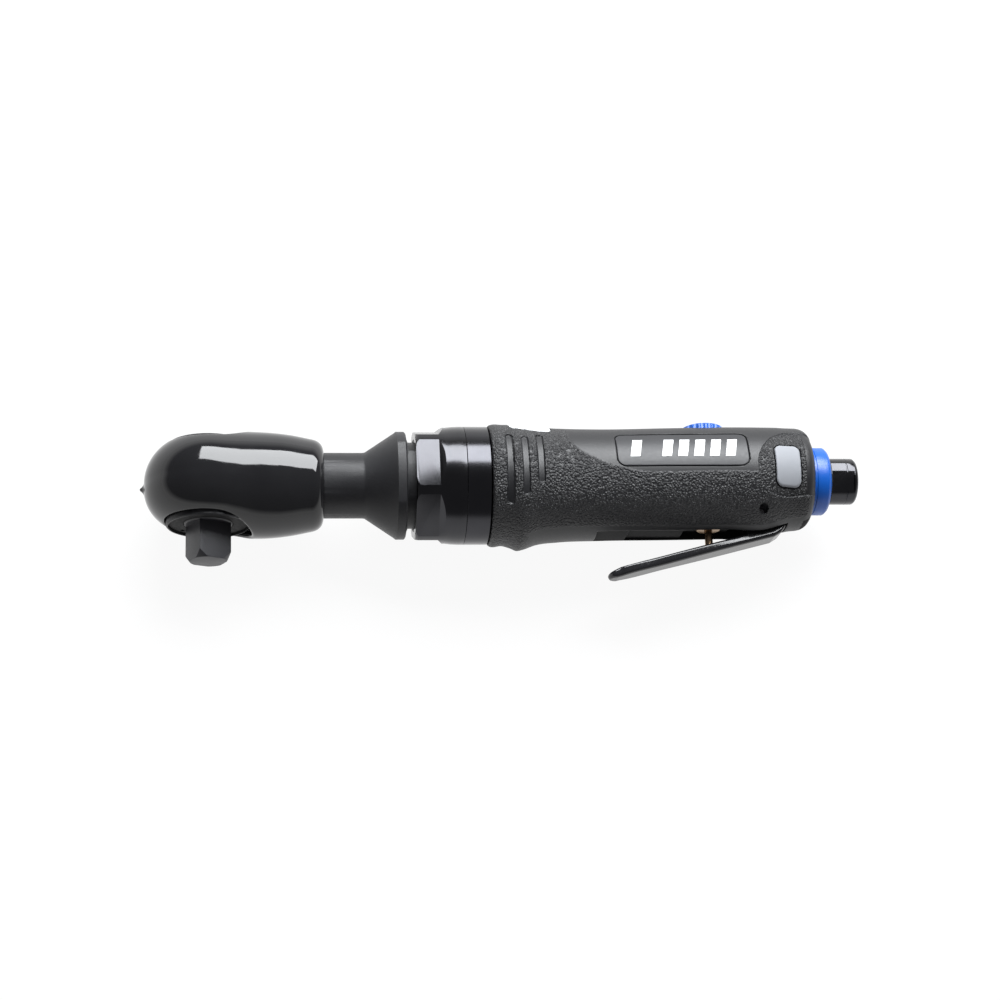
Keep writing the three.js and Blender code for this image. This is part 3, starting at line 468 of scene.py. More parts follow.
def black_steel():
    n = Nodes("black_steel")
    patches = n.noise(9, 4, 0.6)
    n.colour(n.mix(patches, (0.008, 0.008, 0.009), (0.018, 0.018, 0.020)))
    grit = n.noise(0.35, 2, 0.6)
    n.roughness(n.spread(grit, 0.3, 0.7, 0.34, 0.52))
    n.bump(grit, 0.05)
    n.set(Metallic=0.1, IOR=1.5, Specular_IOR_Level=0.36)
    return n.material


def grip_composite():
    """Charcoal moulding: leather grain where the surface's own mask asks for it, and a fine spark
    texture elsewhere. Painted highlight lightens the pebble tops of the grain, and painted shade
    turns the walls of the lever's channel near black."""
    n = Nodes("grip_composite")
    mask = n.attribute("grain")
    pebbles = n.voronoi(0.85)
    wrinkles = n.noise(0.8, 2, 0.6, distortion=1.2)
    leather = n.math("MULTIPLY", n.spread(pebbles, 0.1, 0.8, 1, 0), wrinkles)
    fine = n.math("MULTIPLY", n.noise(0.22, 1), 0.02)
    relief = n.math("ADD", n.math("MULTIPLY", leather, mask), fine)
    n.bump(relief, 0.75)
    tone = n.mix(n.noise(18, 3), (0.0055, 0.0057, 0.0068), (0.0085, 0.0088, 0.0103))
    # Painted highlight: the raised pebble tops of the grain are mixed to a lighter colour.
    pebble_highlight = n.math("MULTIPLY", n.spread(leather, 0.35, 0.7, 0, 1), mask)
    tone = n.mix(pebble_highlight, tone, (0.014, 0.0144, 0.0165))
    # Painted shade: where the attribute shade is 1, on the walls of the lever's channel, the colour
    # is mixed to near black.
    shade = n.attribute("shade")
    n.colour(n.mix(shade, tone, (0.003, 0.003, 0.0035)))
    rough = n.spread(n.noise(0.5, 2), 0.3, 0.7, 0.40, 0.52)
    n.roughness(n.math("MAXIMUM", rough, n.math("MULTIPLY", shade, 0.9)))
    n.set(IOR=1.5)
    return n.material


def plastic(name, dark, light, rough, bump=0.01, size=0.3, coat=0.0):
    n = Nodes(name)
    n.colour(n.mix(n.noise(8, 3), dark, light))
    n.roughness(n.spread(n.noise(1.2, 3), 0.3, 0.7, rough[0], rough[1]))
    n.bump(n.noise(size, 2), bump)
    n.set(Coat_Weight=coat)
    return n.material


def make_materials():
    grey = (0.50, 0.50, 0.52)
    return {
        "boot_rubber": boot_rubber(),
        "black_steel": black_steel(),
        "polished_steel": turned_metal("polished_steel", (0.040, 0.040, 0.043),
                                       (0.054, 0.054, 0.058), (0.13, 0.22)),
        "black_aluminium": turned_metal("black_aluminium", (0.042, 0.042, 0.046),
                                        (0.054, 0.054, 0.059), (0.14, 0.22)),
        "drive_steel": turned_metal("drive_steel", (0.020, 0.020, 0.023), (0.030, 0.030, 0.034),
                                    (0.36, 0.48), 0.1, (1, 1, 1), 0.01, 0.3),
        "bare_steel": turned_metal("bare_steel", grey, (0.6, 0.6, 0.62), (0.2, 0.34)),
        "grip_composite": grip_composite(),
        "plate_plastic": plastic("plate_plastic", (0.013, 0.0135, 0.016), (0.017, 0.0175, 0.020),
                                 (0.42, 0.5)),
        "badge_silver": turned_metal("badge_silver", (0.23, 0.24, 0.26), (0.26, 0.27, 0.29),
                                     (0.6, 0.75), 0.1, (1, 1, 1), 0.006, 0.25),
        "label_film": plastic("label_film", (0.8, 0.82, 0.84), (0.86, 0.87, 0.88), (0.3, 0.4)),
        "mark_paint": plastic("mark_paint", (0.8, 0.8, 0.8), (0.86, 0.86, 0.86), (0.4, 0.5)),
        "lever_paint": plastic("lever_paint", (0.010, 0.010, 0.011), (0.016, 0.016, 0.018),
                               (0.1, 0.2), 0.02, 1.5),
        "bronze": turned_metal("bronze", (0.30, 0.20, 0.12), (0.42, 0.29, 0.18), (0.22, 0.36)),
        "blue_plastic": plastic("blue_plastic", (0.0003, 0.074, 0.37), (0.0005, 0.084, 0.42),
                                (0.3, 0.4), 0.008, 0.4),
        "dull_black": plastic("dull_black", (0.003, 0.003, 0.003), (0.005, 0.005, 0.005),
                              (0.7, 0.85)),
        "seal_rubber": plastic("seal_rubber", (0.012, 0.012, 0.012), (0.02, 0.02, 0.02),
                               (0.6, 0.8)),
        "felt": plastic("felt", (0.12, 0.115, 0.1), (0.2, 0.19, 0.17), (0.9, 1), 0.2, 0.25),
        "vane_composite": plastic("vane_composite", (0.07, 0.04, 0.02), (0.12, 0.075, 0.04),
                                  (0.6, 0.75), 0.03, 0.3),
    }


# ---- ratchet head -----------------------------------------------------------------------------

HEAD_R = 24.1
HEAD_LOWER = (1.8, 14.5)  # start and radius of the rounding on the drive's side
HEAD_UPPER = (0.35, 18)  # and on the knob's side
BOOT_WALL = 1.6
OPENING_R = 16.1
FACE_Y = 16.1
UPPER_FACE_Y = 15.6
NECK_R = 12.45
BOOT_END_X = 43.2
FLANGE_R = 20.5
FLANGE_X = 73.8
SPIGOT_R = 16.9
DRIVE = 12.7
DRIVE_TURN = 26
KNOB_R = 12.4
PLATE_R = 14.8

BARREL = [(-6, 13.2), (4, 15.6), (11.8, 18.4), (20.8, 20.0), (30, 19.3), (38.8, 17.6), (50, 15.4)]
BARREL_CURVE = through(BARREL, 1)


def puck_field(x, y, z, inset):
    """The head's round box about Y with rounded rims."""
    r = np.sqrt(x * x + z * z)
    rims = []
    for side, (start, radius) in ((-1, HEAD_LOWER), (1, HEAD_UPPER)):
        out = r - (HEAD_R - radius)
        up = side * y - start
        corner = np.sqrt(np.maximum(out, 0)**2 + np.maximum(up, 0)**2)
        rims.append(np.minimum(np.maximum(out, up), 0) + corner - radius)
    return np.maximum(*rims) + inset


def barrel_field(x, y, z, inset):
    """The head's barrel about X, with a rounded rear end."""
    r = np.sqrt(y * y + z * z)
    side = r - np.interp(x, *BARREL_CURVE) + inset
    ends = np.maximum(x - BOOT_END_X + inset, 4 - x)
    return smooth_max(side, ends, 4.5 - inset)


def boot_field(x, y, z):
    nose_r = np.sqrt((y + 1.7)**2 + z * z)
    nose = nose_r - 2.9 + (x + 22.2) * -0.75
    outside = smooth_min(puck_field(x, y, z, 0.02), barrel_field(x, y, z, 0) + 0.1, 9)
    outside = smooth_min(outside, np.maximum(nose, x + 21), 1.2)
    outside = np.maximum(outside, -25.6 - x)
    inside = smooth_min(puck_field(x, y, z, BOOT_WALL), barrel_field(x, y, z, BOOT_WALL), 3)
    hole = OPENING_R - np.sqrt(x * x + z * z)
    neck = np.minimum(NECK_R + GAP - np.sqrt(y * y + z * z), x - 20)
    shell = smooth_max(outside, -inside, 1.0)
    shell = smooth_max(shell, hole, 1.4)
    return smooth_max(shell, neck, 0.8)


def make_boot(materials):
    piece, _ = moulded("boot", boot_field, (-25.7, -20.3, -24.2), (43.3, 20.3, 24.2), 0.5)
    finished(piece, "housing", ["head_boot"], materials["boot_rubber"])


def puck(name, inset, steps=12):
    lower, upper = [
        [(start + (radius - inset) * math.sin(a), HEAD_R - radius + (radius - inset) * math.cos(a))
         for a in (math.pi / 2 * i / steps for i in range(steps + 1))]
        for start, radius in (HEAD_LOWER, HEAD_UPPER)]
    lower = [(-y, r) for y, r in reversed(lower)]
    return lathe(name, [(lower[0][0], 0), *lower, *upper, (upper[-1][0], 0)], "Y")


def make_housing(materials):
    wall = BOOT_WALL + GAP + 0.2
    piece = lathe("ratchet_body", [
        (20, 0), (20, NECK_R), (57.6, NECK_R), (58.6, 12.6), (69.6, 19.9), (70.3, FLANGE_R),
        (FLANGE_X - 0.5, FLANGE_R), (FLANGE_X, 20.0), (FLANGE_X, SPIGOT_R + 0.35),
        (74.5, SPIGOT_R + 0.35), (74.5, SPIGOT_R - 0.5), (84, SPIGOT_R - 0.5), (84, 0)])
    head = puck("head", wall)
    core = lathe("core", [(-FACE_Y, 0), (-FACE_Y, 15.4), (-FACE_Y + 0.4, 15.8),
                          (UPPER_FACE_Y - 0.4, 15.8), (UPPER_FACE_Y, 15.4),
                          (UPPER_FACE_Y, 0)], "Y")
    xs = [4, 12, 20.8, 30, 38, 40.6]
    shoulder = lathe("shoulder", [(4, 0)] + [
        (x, float(np.interp(x, *BARREL_CURVE)) - wall - max(0, x - 37) * 0.6) for x in xs]
        + [(40.6, 0)])
    ring = lathe("ring", [(-30, OPENING_R + wall), (-14.2, OPENING_R + wall), (-14.2, 0),
                          (-30, 0)][::-1], "Y")
    upper = lathe("upper", [(14.2, 0), (14.2, OPENING_R + wall), (30, OPENING_R + wall),
                            (30, 0)], "Y")
    cut(shoulder, ring, upper)
    join(piece, shoulder, head, core)
    slot_half = 6.75
    cut(piece,
        block("slot", (-30, 19), (-slot_half, slot_half), (-30, 30)),
        block("rear_slot", (18, 31.5), (-slot_half, slot_half), (-12.4, 12.4)),
        lathe("journal", [(-20, 0), (-20, 12.15), (0, 12.15), (0, 0)], "Y"),
        lathe("recess", [(-20, 0), (-20, PLATE_R + 0.15), (-13.8, PLATE_R + 0.15),
                         (-13.8, 0)], "Y"),
        lathe("upper_journal", [(0, 0), (0, 9.65), (20, 9.65), (20, 0)], "Y"),
        lathe("knob_seat", [(11, 0), (11, KNOB_R + 0.3), (20, KNOB_R + 0.3), (20, 0)], "Y"),
        lathe("shaft_bore", [(25, 0), (25, 9.7), (65.9, 9.7), (65.9, 14.2), (90, 14.2),
                             (90, 0)]))
    bevel(piece, 0.15, 2, 40)
    shade(piece)
    finished(piece, "housing", ["ratchet_housing"], materials["black_steel"])


def make_anvil(materials):
    piece = lathe("anvil_body", [
        (-15.6, 0), (-15.6, 8.6), (-15.2, 9.1), (-12.9, 9.1), (-12.9, 12), (-6.7, 12),
        (-6.6, 10.9), (6.6, 10.9), (6.7, 9.5), (10.9, 9.5), (10.9, 0)], "Y")
    half = DRIVE / 2
    square = prism("square", [(-half, -half), (half, -half), (half, half), (-half, half)],
                   -AXIS_Y, -15, "Y")
    turned(square, "Y", DRIVE_TURN)
    tip = lathe("tip", [(-AXIS_Y, 0), (-AXIS_Y, 6.9), (-AXIS_Y + 2.9, 9), (-15, 9),
                        (-15, 0)], "Y")
    combine(square, [tip], "INTERSECT")
    bevel(square, 0.16, 3, 40)
    join(piece, square)
    hidden = DRIVE_TURN + 180
    ball_hole = lathe("ball_hole", [(1, 0), (1, 2.05), (7, 2.05), (7, 0)], "Z", 32,
                      (0, -23.2, 0))
    cut(piece, turned(ball_hole, "Y", hidden, (0, -23.2, 0)),
        block("pocket", (-12, -5.4), (-5, 5), (-8.6, 8.6)),
        block("way", (-6, -1), (-1.7, 1.7), (-3.4, 3.4)),
        lathe("stem_bore", [(-3, 0), (-3, 3.75), (12, 3.75), (12, 0)], "Y", 48),
        lathe("pin_bore", [(-6, 0), (-6, 1.45), (6.8, 1.45), (6.8, 0)], "Y", 24, (-8, 0, 0)))
    shade(piece)
    finished(piece, "anvil", ["anvil"], materials["drive_steel"])


def make_retaining_plate(materials):
    piece = lathe("retaining_plate", [(-15.1, 9.35), (-15.1, PLATE_R - 0.2),
                                      (-14.9, PLATE_R), (-13.9, PLATE_R), (-13.9, 9.35)], "Y")
    cut(piece, *[turned(lathe("plier_hole", [(-20, 0), (-20, 0.8), (-10, 0.8), (-10, 0)], "Y",
                              24, (12.6, 0, 0)), "Y", angle) for angle in (115, 140)])
    shade(piece)
    finished(piece, "housing", ["anvil_retaining_plate"],
             materials["dull_black"])


KNOB_TURN = 25
KNOB_SCOOPS = 24


def make_knob(materials):
    piece = lathe("reverse_dial", [(11.3, 0), (11.3, KNOB_R), (16.0, KNOB_R), (16.7, KNOB_R - 0.7),
                                   (16.7, 0)], "Y")
    scoops = []
    for i in range(KNOB_SCOOPS):
        angle = 2 * math.pi * i / KNOB_SCOOPS
        place = ((KNOB_R + 0.55) * math.cos(angle), 0, (KNOB_R + 0.55) * math.sin(angle))
        scoops.append(lathe("scoop", [(13.4, 0), (13.4, 0.9), (20, 0.9), (20, 0)], "Y", 16,
                            place))
    cut(piece, *scoops)
    bar = block("bar", (-11.2, 11.2), (16.4, 18.3), (-2, 2))
    bevel(bar, 0.45, 3)
    stem = lathe("stem", [(-2.7, 0), (-2.7, 3.6), (11.5, 3.6), (11.5, 0)], "Y", 48)
    join(piece, bar, stem)
    cut(piece, lathe("plunger_hole", [(-4, 0), (-4, 1.45), (1.6, 1.45), (1.6, 0)], "X", 24))
    turned(piece, "Y", -KNOB_TURN)
    shade(piece)
    finished(piece, "reverse_knob", ["reverse_knob"], materials["black_steel"])


# ---- clamp nut and motor collar ---------------------------------------------------------------

NUT_X = 77.1
NUT_END_X = 95.9
NUT_AF = 39.9
NUT_R = 22.5
NUT_TURN = 8.5
NUT_FLAT_END_X = 85.8


def make_nut(materials):
    """A round nut with six milled flats, each with a 45 degree run-out behind."""
    piece = lathe("nut", [
        (NUT_X, 0), (NUT_X, 20.9), (NUT_X + 0.3, 21.5), (NUT_X + 1.2, 22.1), (88.9, 22.1),
        (91, 22.35), (93.5, NUT_R), (NUT_END_X - 0.12, NUT_R), (NUT_END_X, NUT_R - 0.12),
        (NUT_END_X, 0)], segments=192)
    flat, run_out = NUT_AF / 2, 6
    side = [(NUT_X - 1, flat), (NUT_FLAT_END_X, flat), (NUT_FLAT_END_X + run_out, flat + run_out),
            (NUT_X - 1, flat + run_out)]
    mills = [turned(prism("mill", side, -30, 30), "X", 90 - NUT_TURN + 60 * i)
             for i in range(6)]
    bore = lathe("bore", [(70, 0), (70, 17.6), (77.5, 17.6), (77.9, 17.2), (80.15, 17.2),
                          (80.15, 19.15), (100, 19.15), (100, 0)], segments=128)
    cut(piece, *mills, bore)
    bevel(piece, 0.16, 2, 20)
    shade(piece, math.radians(20))
    finished(piece, "housing", ["clamp_nut"], materials["polished_steel"])


def make_motor_housing(materials):
    """The tube round the motor, with the collar in front of the grip and the valve block behind."""
    piece = lathe("motor_body", [
        (84.3, 17.4), (84.3, 18.5), (84.6, 18.8), (96, 18.8), (96, NUT_R - 0.12),
        (96.12, NUT_R), (104.7, NUT_R), (105, NUT_R - 0.3), (105, 18.9), (156, 18.9),
        (156, 17.4)], segments=128)
    centre = (0, INLET_Y, 0)
    valve_block = lathe("valve_block", [(155.5, 0), (155.5, 17.6), (222, 17.6), (222, 0)],
                        centre=centre)
    cavities = lathe("valve_bore", [
        (-20, 0), (-20, 5.05), (4.4, 5.05), (4.4, 6.25), (DIAL_Y - 0.3, 6.25),
        (DIAL_Y - 0.3, DIAL_R + 0.5), (30, DIAL_R + 0.5), (30, 0)], "Y", 48, (VALVE_X, 0, 0))
    join(cavities,
         lathe("airway", [(188, 0), (188, 4.2), (207, 4.2), (207, 8.1), (230, 8.1), (230, 0)],
               "X", 48, centre),
         lathe("feed", [(150, 0), (150, 2.6), (190, 2.6), (190, 0)], "X", 24, (0, 9, 0)))
    exhausts = [lathe("exhaust", [(150, 0), (150, 2.4), (230, 2.4), (230, 0)], "X", 24,
                      (0, -4, side * 12.4)) for side in (-1, 1)]
    cut(valve_block, block("flat", (157, 230), (-30, -10.5), (-30, 30)), cavities, *exhausts)
    join(piece, valve_block)
    shade(piece)
    finished(piece, "housing", ["motor_housing"],
             materials["black_aluminium"])


# ---- grip -------------------------------------------------------------------------------------

GRIP_X = 105.3
GRIP_END_X = 230
GRIP = [(GRIP_X, 22.8, -22.8), (106, 23.1, -23.2), (111, 23.3, -23.1), (114.3, 23.2, -24.1),
        (116.5, 22.9, -25), (118.6, 22.7, -24.6), (123.4, 22.3, -22.9), (133, 21.9, -21.7),
        (148, 21.7, -21.2), (176, 22.3, -20.9), (195, 22.7, -20.6), (212, 22.7, -20.4),
        (217, 22.68, -18.9), (221, 22.5, -17.8), (230, 22.4, -17.3)]
GRIP_TOP = through(GRIP, 1)
GRIP_BOTTOM = through(GRIP, 2)
FINGER_SLOTS = [(112.0, 39, -35), (117.8, 38.5, -24), (123.6, 42, -14.5)]
SLOT_HALF = 1.5
SLOT_DEPTH = 0.6
PANEL = {"x": 177.9, "width": 50.2, "height": 15.4, "radius": 3, "angle": 24.5}
BADGE = {"x": 218.2, "width": 10, "height": 16.4, "radius": 2.6, "angle": 5.5}
LABEL = {"x": 121, "width": 15.6, "height": 27, "radius": 1.5, "angle": 90}
CAP_DEPTH = 0.5  # of the recessed field round the badge
CHANNEL_HALF = 6.3
CHANNEL_ROOF = stations([(158, -19.9), (159, -18.8), (180, -18.8), (180.5, -16.5),
                         (198.5, -16.5), (199, -10.3)])
PIVOT = (208.6, -13.9)
PIN_HOLE_R = 1.75


def grip_round(x):
    """Centre height and radius of the grip's section."""
    top, bottom = np.interp(x, *GRIP_TOP), np.interp(x, *GRIP_BOTTOM)
    return (top + bottom) / 2, (top - bottom) / 2


def grip_angle(x, y, z):
    """Degrees round the grip from the nearer side, +-Z, towards +Y."""
    centre, _ = grip_round(x)
    return np.degrees(np.arctan2(y - centre, np.abs(z) + 1e-6))


def slot_distance(x, angle, radius, slot):
    """Distance along the surface from a finger slot's edge, negative inside it."""
    at, high, low = slot
    along = np.radians(angle - np.clip(angle, low + 3.8, high - 3.8)) * radius
    return np.sqrt((x - at)**2 + along**2) - SLOT_HALF


def rounded_rectangle(u, v, patch, grow=0.0):
    """Distance in the plane from a rounded rectangle's edge, negative inside it."""
    a = np.abs(u) - patch["width"] / 2 + patch["radius"]
    b = np.abs(v) - patch["height"] / 2 + patch["radius"]
    outer = np.sqrt(np.maximum(a, 0)**2 + np.maximum(b, 0)**2)
    return outer + np.minimum(np.maximum(a, b), 0) - patch["radius"] - grow


def patch_distance(x, y, z, patch, grow=0.0):
    """The same for a patch on the grip's side, seen along its own direction."""
    angle = math.radians(patch["angle"])
    across = y * math.cos(angle) - z * math.sin(angle)
    outwards = y * math.sin(angle) + z * math.cos(angle)
    flat = rounded_rectangle(x - patch["x"], across, patch, grow)
    return np.maximum(flat, 4 - outwards)


def cap_distance(x, angle):
    """Distance from the edge of the recessed rear field, negative inside it."""
    front = 206.4 + 0.0055 * (angle - 2)**2
    level = np.maximum(angle - 48, -36.5 - angle) * 0.38
    return smooth_max(front - x, level, 6)


def grip_field(x, y, z):
    centre, radius = grip_round(x)
    r = np.sqrt((y - centre)**2 + z * z)
    angle = grip_angle(x, y, z)
    skin = r - radius + 0.02
    for slot in FINGER_SLOTS:
        skin = skin + SLOT_DEPTH * smooth_step(-slot_distance(x, angle, radius, slot), -0.1, 0.5)
    cap = cap_distance(x, angle)
    skin = skin + CAP_DEPTH * smooth_step(-cap, -0.2, 0.2)
    ends = np.maximum(GRIP_X + 0.02 - x, x - GRIP_END_X)
    front = smooth_max(skin, GRIP_X - x, 0.8)
    rear = smooth_max(skin, x - GRIP_END_X, 6)
    body = np.maximum(np.where(x < 200, front, rear), ends)
    for patch, depth in ((PANEL, 0.9), (BADGE, 1.2), (LABEL, 0.8)):
        flat = patch_distance(x, y, z, patch, GAP)
        body = smooth_max(body, -smooth_max(flat, -(r - radius + depth), 0.2), 0.25)
    channel = np.maximum(np.abs(z) - CHANNEL_HALF, 146 - x)
    roof = np.interp(x, *CHANNEL_ROOF)
    channel = np.maximum(channel, np.maximum(y - roof, x - 219.8))
    body = smooth_max(body, -channel, 0.5)
    bore = np.sqrt(y * y + z * z) - 19.2
    bore = np.maximum(bore, x - 157.3)
    core = np.sqrt((y - INLET_Y)**2 + z * z)
    valve_block = np.maximum(np.maximum(core - 17.9, -10.8 - y), np.maximum(155 - x, x - 222.3))
    rear_room = np.maximum(core - 13.6, 220 - x)
    body = np.maximum(body, -np.minimum(np.minimum(bore, valve_block), rear_room))
    around_valve = np.sqrt((x - VALVE_X)**2 + z * z)
    body = smooth_max(body, -np.maximum(around_valve - DIAL_R - 0.5, DIAL_Y - 0.3 - y), 0.5)
    body = np.maximum(body, -np.maximum(around_valve - 6.5, 10 - y))
    body = np.maximum(body, -np.maximum(around_valve - 5.3, y))
    pin = np.sqrt((x - PIVOT[0])**2 + (y - PIVOT[1])**2) - PIN_HOLE_R
    return smooth_max(body, -pin, 0.25)


def grain_mask(points):
    """1 where the grip has leather grain and 0 where it is smooth."""
    x, y, z = points.T
    centre, radius = grip_round(x)
    angle = grip_angle(x, y, z)
    window = smooth_max(135 + 0.011 * np.maximum(38 - angle, 0)**2 - x, (-6 - angle) * 0.38, 12)
    smooth_top = smooth_step(-window, -0.3, 0.6)
    inside_cap = smooth_step(-cap_distance(x, angle), -0.2, 0.4)
    grain = np.maximum(1 - smooth_top, inside_cap)
    underside = smooth_step(-62 - angle, 0, 3) * smooth_step(x, 117, 121)
    grain = grain * (1 - underside)
    for slot in FINGER_SLOTS:
        grain = grain * smooth_step(slot_distance(x, angle, radius, slot), -0.3, 0.1)
    return grain * (np.hypot(y - centre, z) > radius - 0.6)


def channel_painted_shade_mask(points):
    """1 on the walls of the lever's channel, where the grip's colour is painted near black as
    painted shade.
    """
    x, y, z = points.T
    centre, radius = grip_round(x)
    inside = (np.abs(z) < CHANNEL_HALF + 0.1) & (y < -9) & (x > 145)
    return inside & (np.hypot(y - centre, z) < radius - 0.15)


def make_grip(materials):
    piece, points = moulded("grip", grip_field, (GRIP_X, -25.1, -24.1), (GRIP_END_X, 23.6, 24.1),
                            0.42)
    paint(piece, "grain", grain_mask(points))
    # Painted shade: near black on the walls of the lever's channel.
    paint(piece, "shade", channel_painted_shade_mask(points))
    finished(piece, "housing", ["handle_grip"], materials["grip_composite"])


def make_patch(name, patch, outer, inner, rim):
    """A sheet that follows the grip's surface inside a patch's outline."""
    def field(x, y, z):
        centre, radius = grip_round(x)
        depth = np.sqrt((y - centre)**2 + z * z) - radius
        sheet = np.maximum(depth + outer, -inner - depth)
        return smooth_max(sheet, patch_distance(x, y, z, patch), rim)
    angle = math.radians(patch["angle"])
    half = patch["height"] / 2
    reach = [(side * math.cos(angle) + out * math.sin(angle),
              -side * math.sin(angle) + out * math.cos(angle))
             for side in (-half, half) for out in (14, 25)]
    low = (patch["x"] - patch["width"] / 2, min(p[0] for p in reach), min(p[1] for p in reach))
    high = (patch["x"] + patch["width"] / 2, max(p[0] for p in reach), max(p[1] for p in reach))
    return moulded(name, field, low, high, 0.25)[0]


LONE_MARK_X = PANEL["x"] - 17.6
FIRST_MARK_X = PANEL["x"] - 5.6  # of the row of five
MARKS = 5
MARK_PITCH = 6.1
MARK_HALF = (1.9, 4.1)
MARK_SLANT = 0.2


def make_mark(name, at):
    """A plain slanted bar printed on the panel."""
    angle = math.radians(PANEL["angle"])

    def field(x, y, z):
        centre, radius = grip_round(x)
        depth = np.sqrt((y - centre)**2 + z * z) - radius
        across = y * math.cos(angle) - z * math.sin(angle)
        outwards = y * math.sin(angle) + z * math.cos(angle)
        flat = np.maximum(np.abs(x - at - MARK_SLANT * across) - MARK_HALF[0],
                          np.abs(across) - MARK_HALF[1])
        return np.maximum(np.maximum(depth + 0.04, -0.3 - depth), np.maximum(flat, 4 - outwards))
    middle = np.array([(MARK_HALF[1] * s * math.cos(angle) + out * math.sin(angle),
                        -MARK_HALF[1] * s * math.sin(angle) + out * math.cos(angle))
                       for s in (-1, 1) for out in (19, 23)])
    low = (at - MARK_HALF[0] - 0.5, *middle.min(0))
    high = (at + MARK_HALF[0] + 0.5, *middle.max(0))
    return moulded(name, field, low, high, 0.22)[0]


def make_plates(materials):
    panel = make_patch("panel", PANEL, 0.15, 0.6, 0.3)
    finished(panel, "housing", ["name_plate"], materials["plate_plastic"])
    places = [LONE_MARK_X] + [FIRST_MARK_X + i * MARK_PITCH for i in range(MARKS)]
    for i, at in enumerate(places):
        mark = make_mark(f"panel_mark_{i + 1}", at)
        finished(mark, "housing", [], materials["mark_paint"])
    badge = make_patch("badge", BADGE, -0.15, 0.9, 0.9)
    finished(badge, "housing", ["oil_badge"], materials["badge_silver"])
    label = make_patch("label", LABEL, 0.0, 0.5, 0.15)
    finished(label, "housing", ["top_label"], materials["label_film"])


# ---- throttle ---------------------------------------------------------------------------------

LEVER_SLOPE = 14.2
LEVER_DROP = 9.1
LEVER_SHEET = 1.5
LEVER_FLANGE = 3.5
LEVER_HALF = 5.8
STEM_END_Y = -25.75
SEAT_Y = -4
DIAL_FLUTES = 20


def lever_plan(inset):
    """Half width of the lever along its length, from the pivot towards the tip."""
    return through([(-62.4 + inset, 0.6 - inset * 0.3), (-61.4 + inset, 2.4 - inset),
                    (-57, 4.2 - inset), (-40, 4.9 - inset), (-20, LEVER_HALF - inset),
                    (0, LEVER_HALF - inset), (14, LEVER_HALF - inset)], 1)


LEVER_OUTER = lever_plan(0)
LEVER_INNER = lever_plan(1.2)
# outside of the web and top of the flanges, as heights above the web's lowest level
LEVER_WEB = stations([(-63, 1.1), (-61.5, 0.5), (-59, 0), (4, 0), (7, 0.9), (9.5, 2.8), (12, 6)])
LEVER_EDGE = stations([(-63, 2.1), (-61, 2.7), (-57, LEVER_FLANGE), (-10, LEVER_FLANGE),
                       (-6.4, LEVER_FLANGE + 0.4), (-2.4, 11.5), (4, 11.5), (8, 8.1), (10.2, 5.6)])


def lever_field(x, y, z):
    """Stamped channel along its own slope, with the pivot at the origin."""
    low = -LEVER_DROP
    web_low = low + np.interp(x, *LEVER_WEB)
    edge = low + np.interp(x, *LEVER_EDGE)
    ear = np.sqrt(x * x + y * y) - 3.1
    top = np.minimum(y - edge, np.maximum(ear, -y))
    draft = np.interp(x, [-34, -4], [0, 0.2]) * np.maximum(y - low, 0)
    half = np.interp(x, *LEVER_OUTER)
    width = np.abs(z) + draft - half
    solid = smooth_max(smooth_max(width, web_low - y, 1.6), np.maximum(top, x - 10.2), 1.1)
    solid = smooth_max(solid, -62.2 - x, 1.2)
    inner = np.abs(z) + draft - np.interp(x, *LEVER_INNER)
    hollow = np.maximum(inner, web_low + LEVER_SHEET - y)
    hollow = np.maximum(hollow, -57.5 - x)
    solid = smooth_max(solid, -hollow, 0.6)
    return smooth_max(solid, -(np.sqrt(x * x + y * y) - 1.7), 0.3)


def make_lever(materials):
    piece, _ = moulded("lever", lever_field, (-62.6, -9.3, -6), (10.4, 3.3, 6), 0.3)
    place = Vector(to_row((PIVOT[0], PIVOT[1], 0)))
    origin = Vector(to_row((0, 0, 0)))
    turn = Matrix.Rotation(math.radians(LEVER_SLOPE), 4, "Z")
    piece.data.transform(Matrix.Translation(place) @ turn @ Matrix.Translation(-origin))
    finished(piece, "throttle_lever", ["throttle_lever"],
             materials["lever_paint"])


def make_valve(materials):
    stem = lathe("valve_stem", [
        (STEM_END_Y - 0.4, 0), (STEM_END_Y - 0.3, 0.6), (STEM_END_Y, 1.05),
        (STEM_END_Y + 0.6, 1.5), (SEAT_Y - 2.6, 1.5), (SEAT_Y - 2, 1.1), (SEAT_Y + 0.3, 1.1),
        (SEAT_Y + 0.3, 3.4), (SEAT_Y + 1.6, 3.4), (SEAT_Y + 1.9, 1.2), (SEAT_Y + 3.4, 1.2),
        (SEAT_Y + 3.4, 0)], "Y", 40, (VALVE_X, 0, 0))
    shade(stem)
    finished(stem, "throttle_valve", ["throttle_valve"], materials["bronze"])


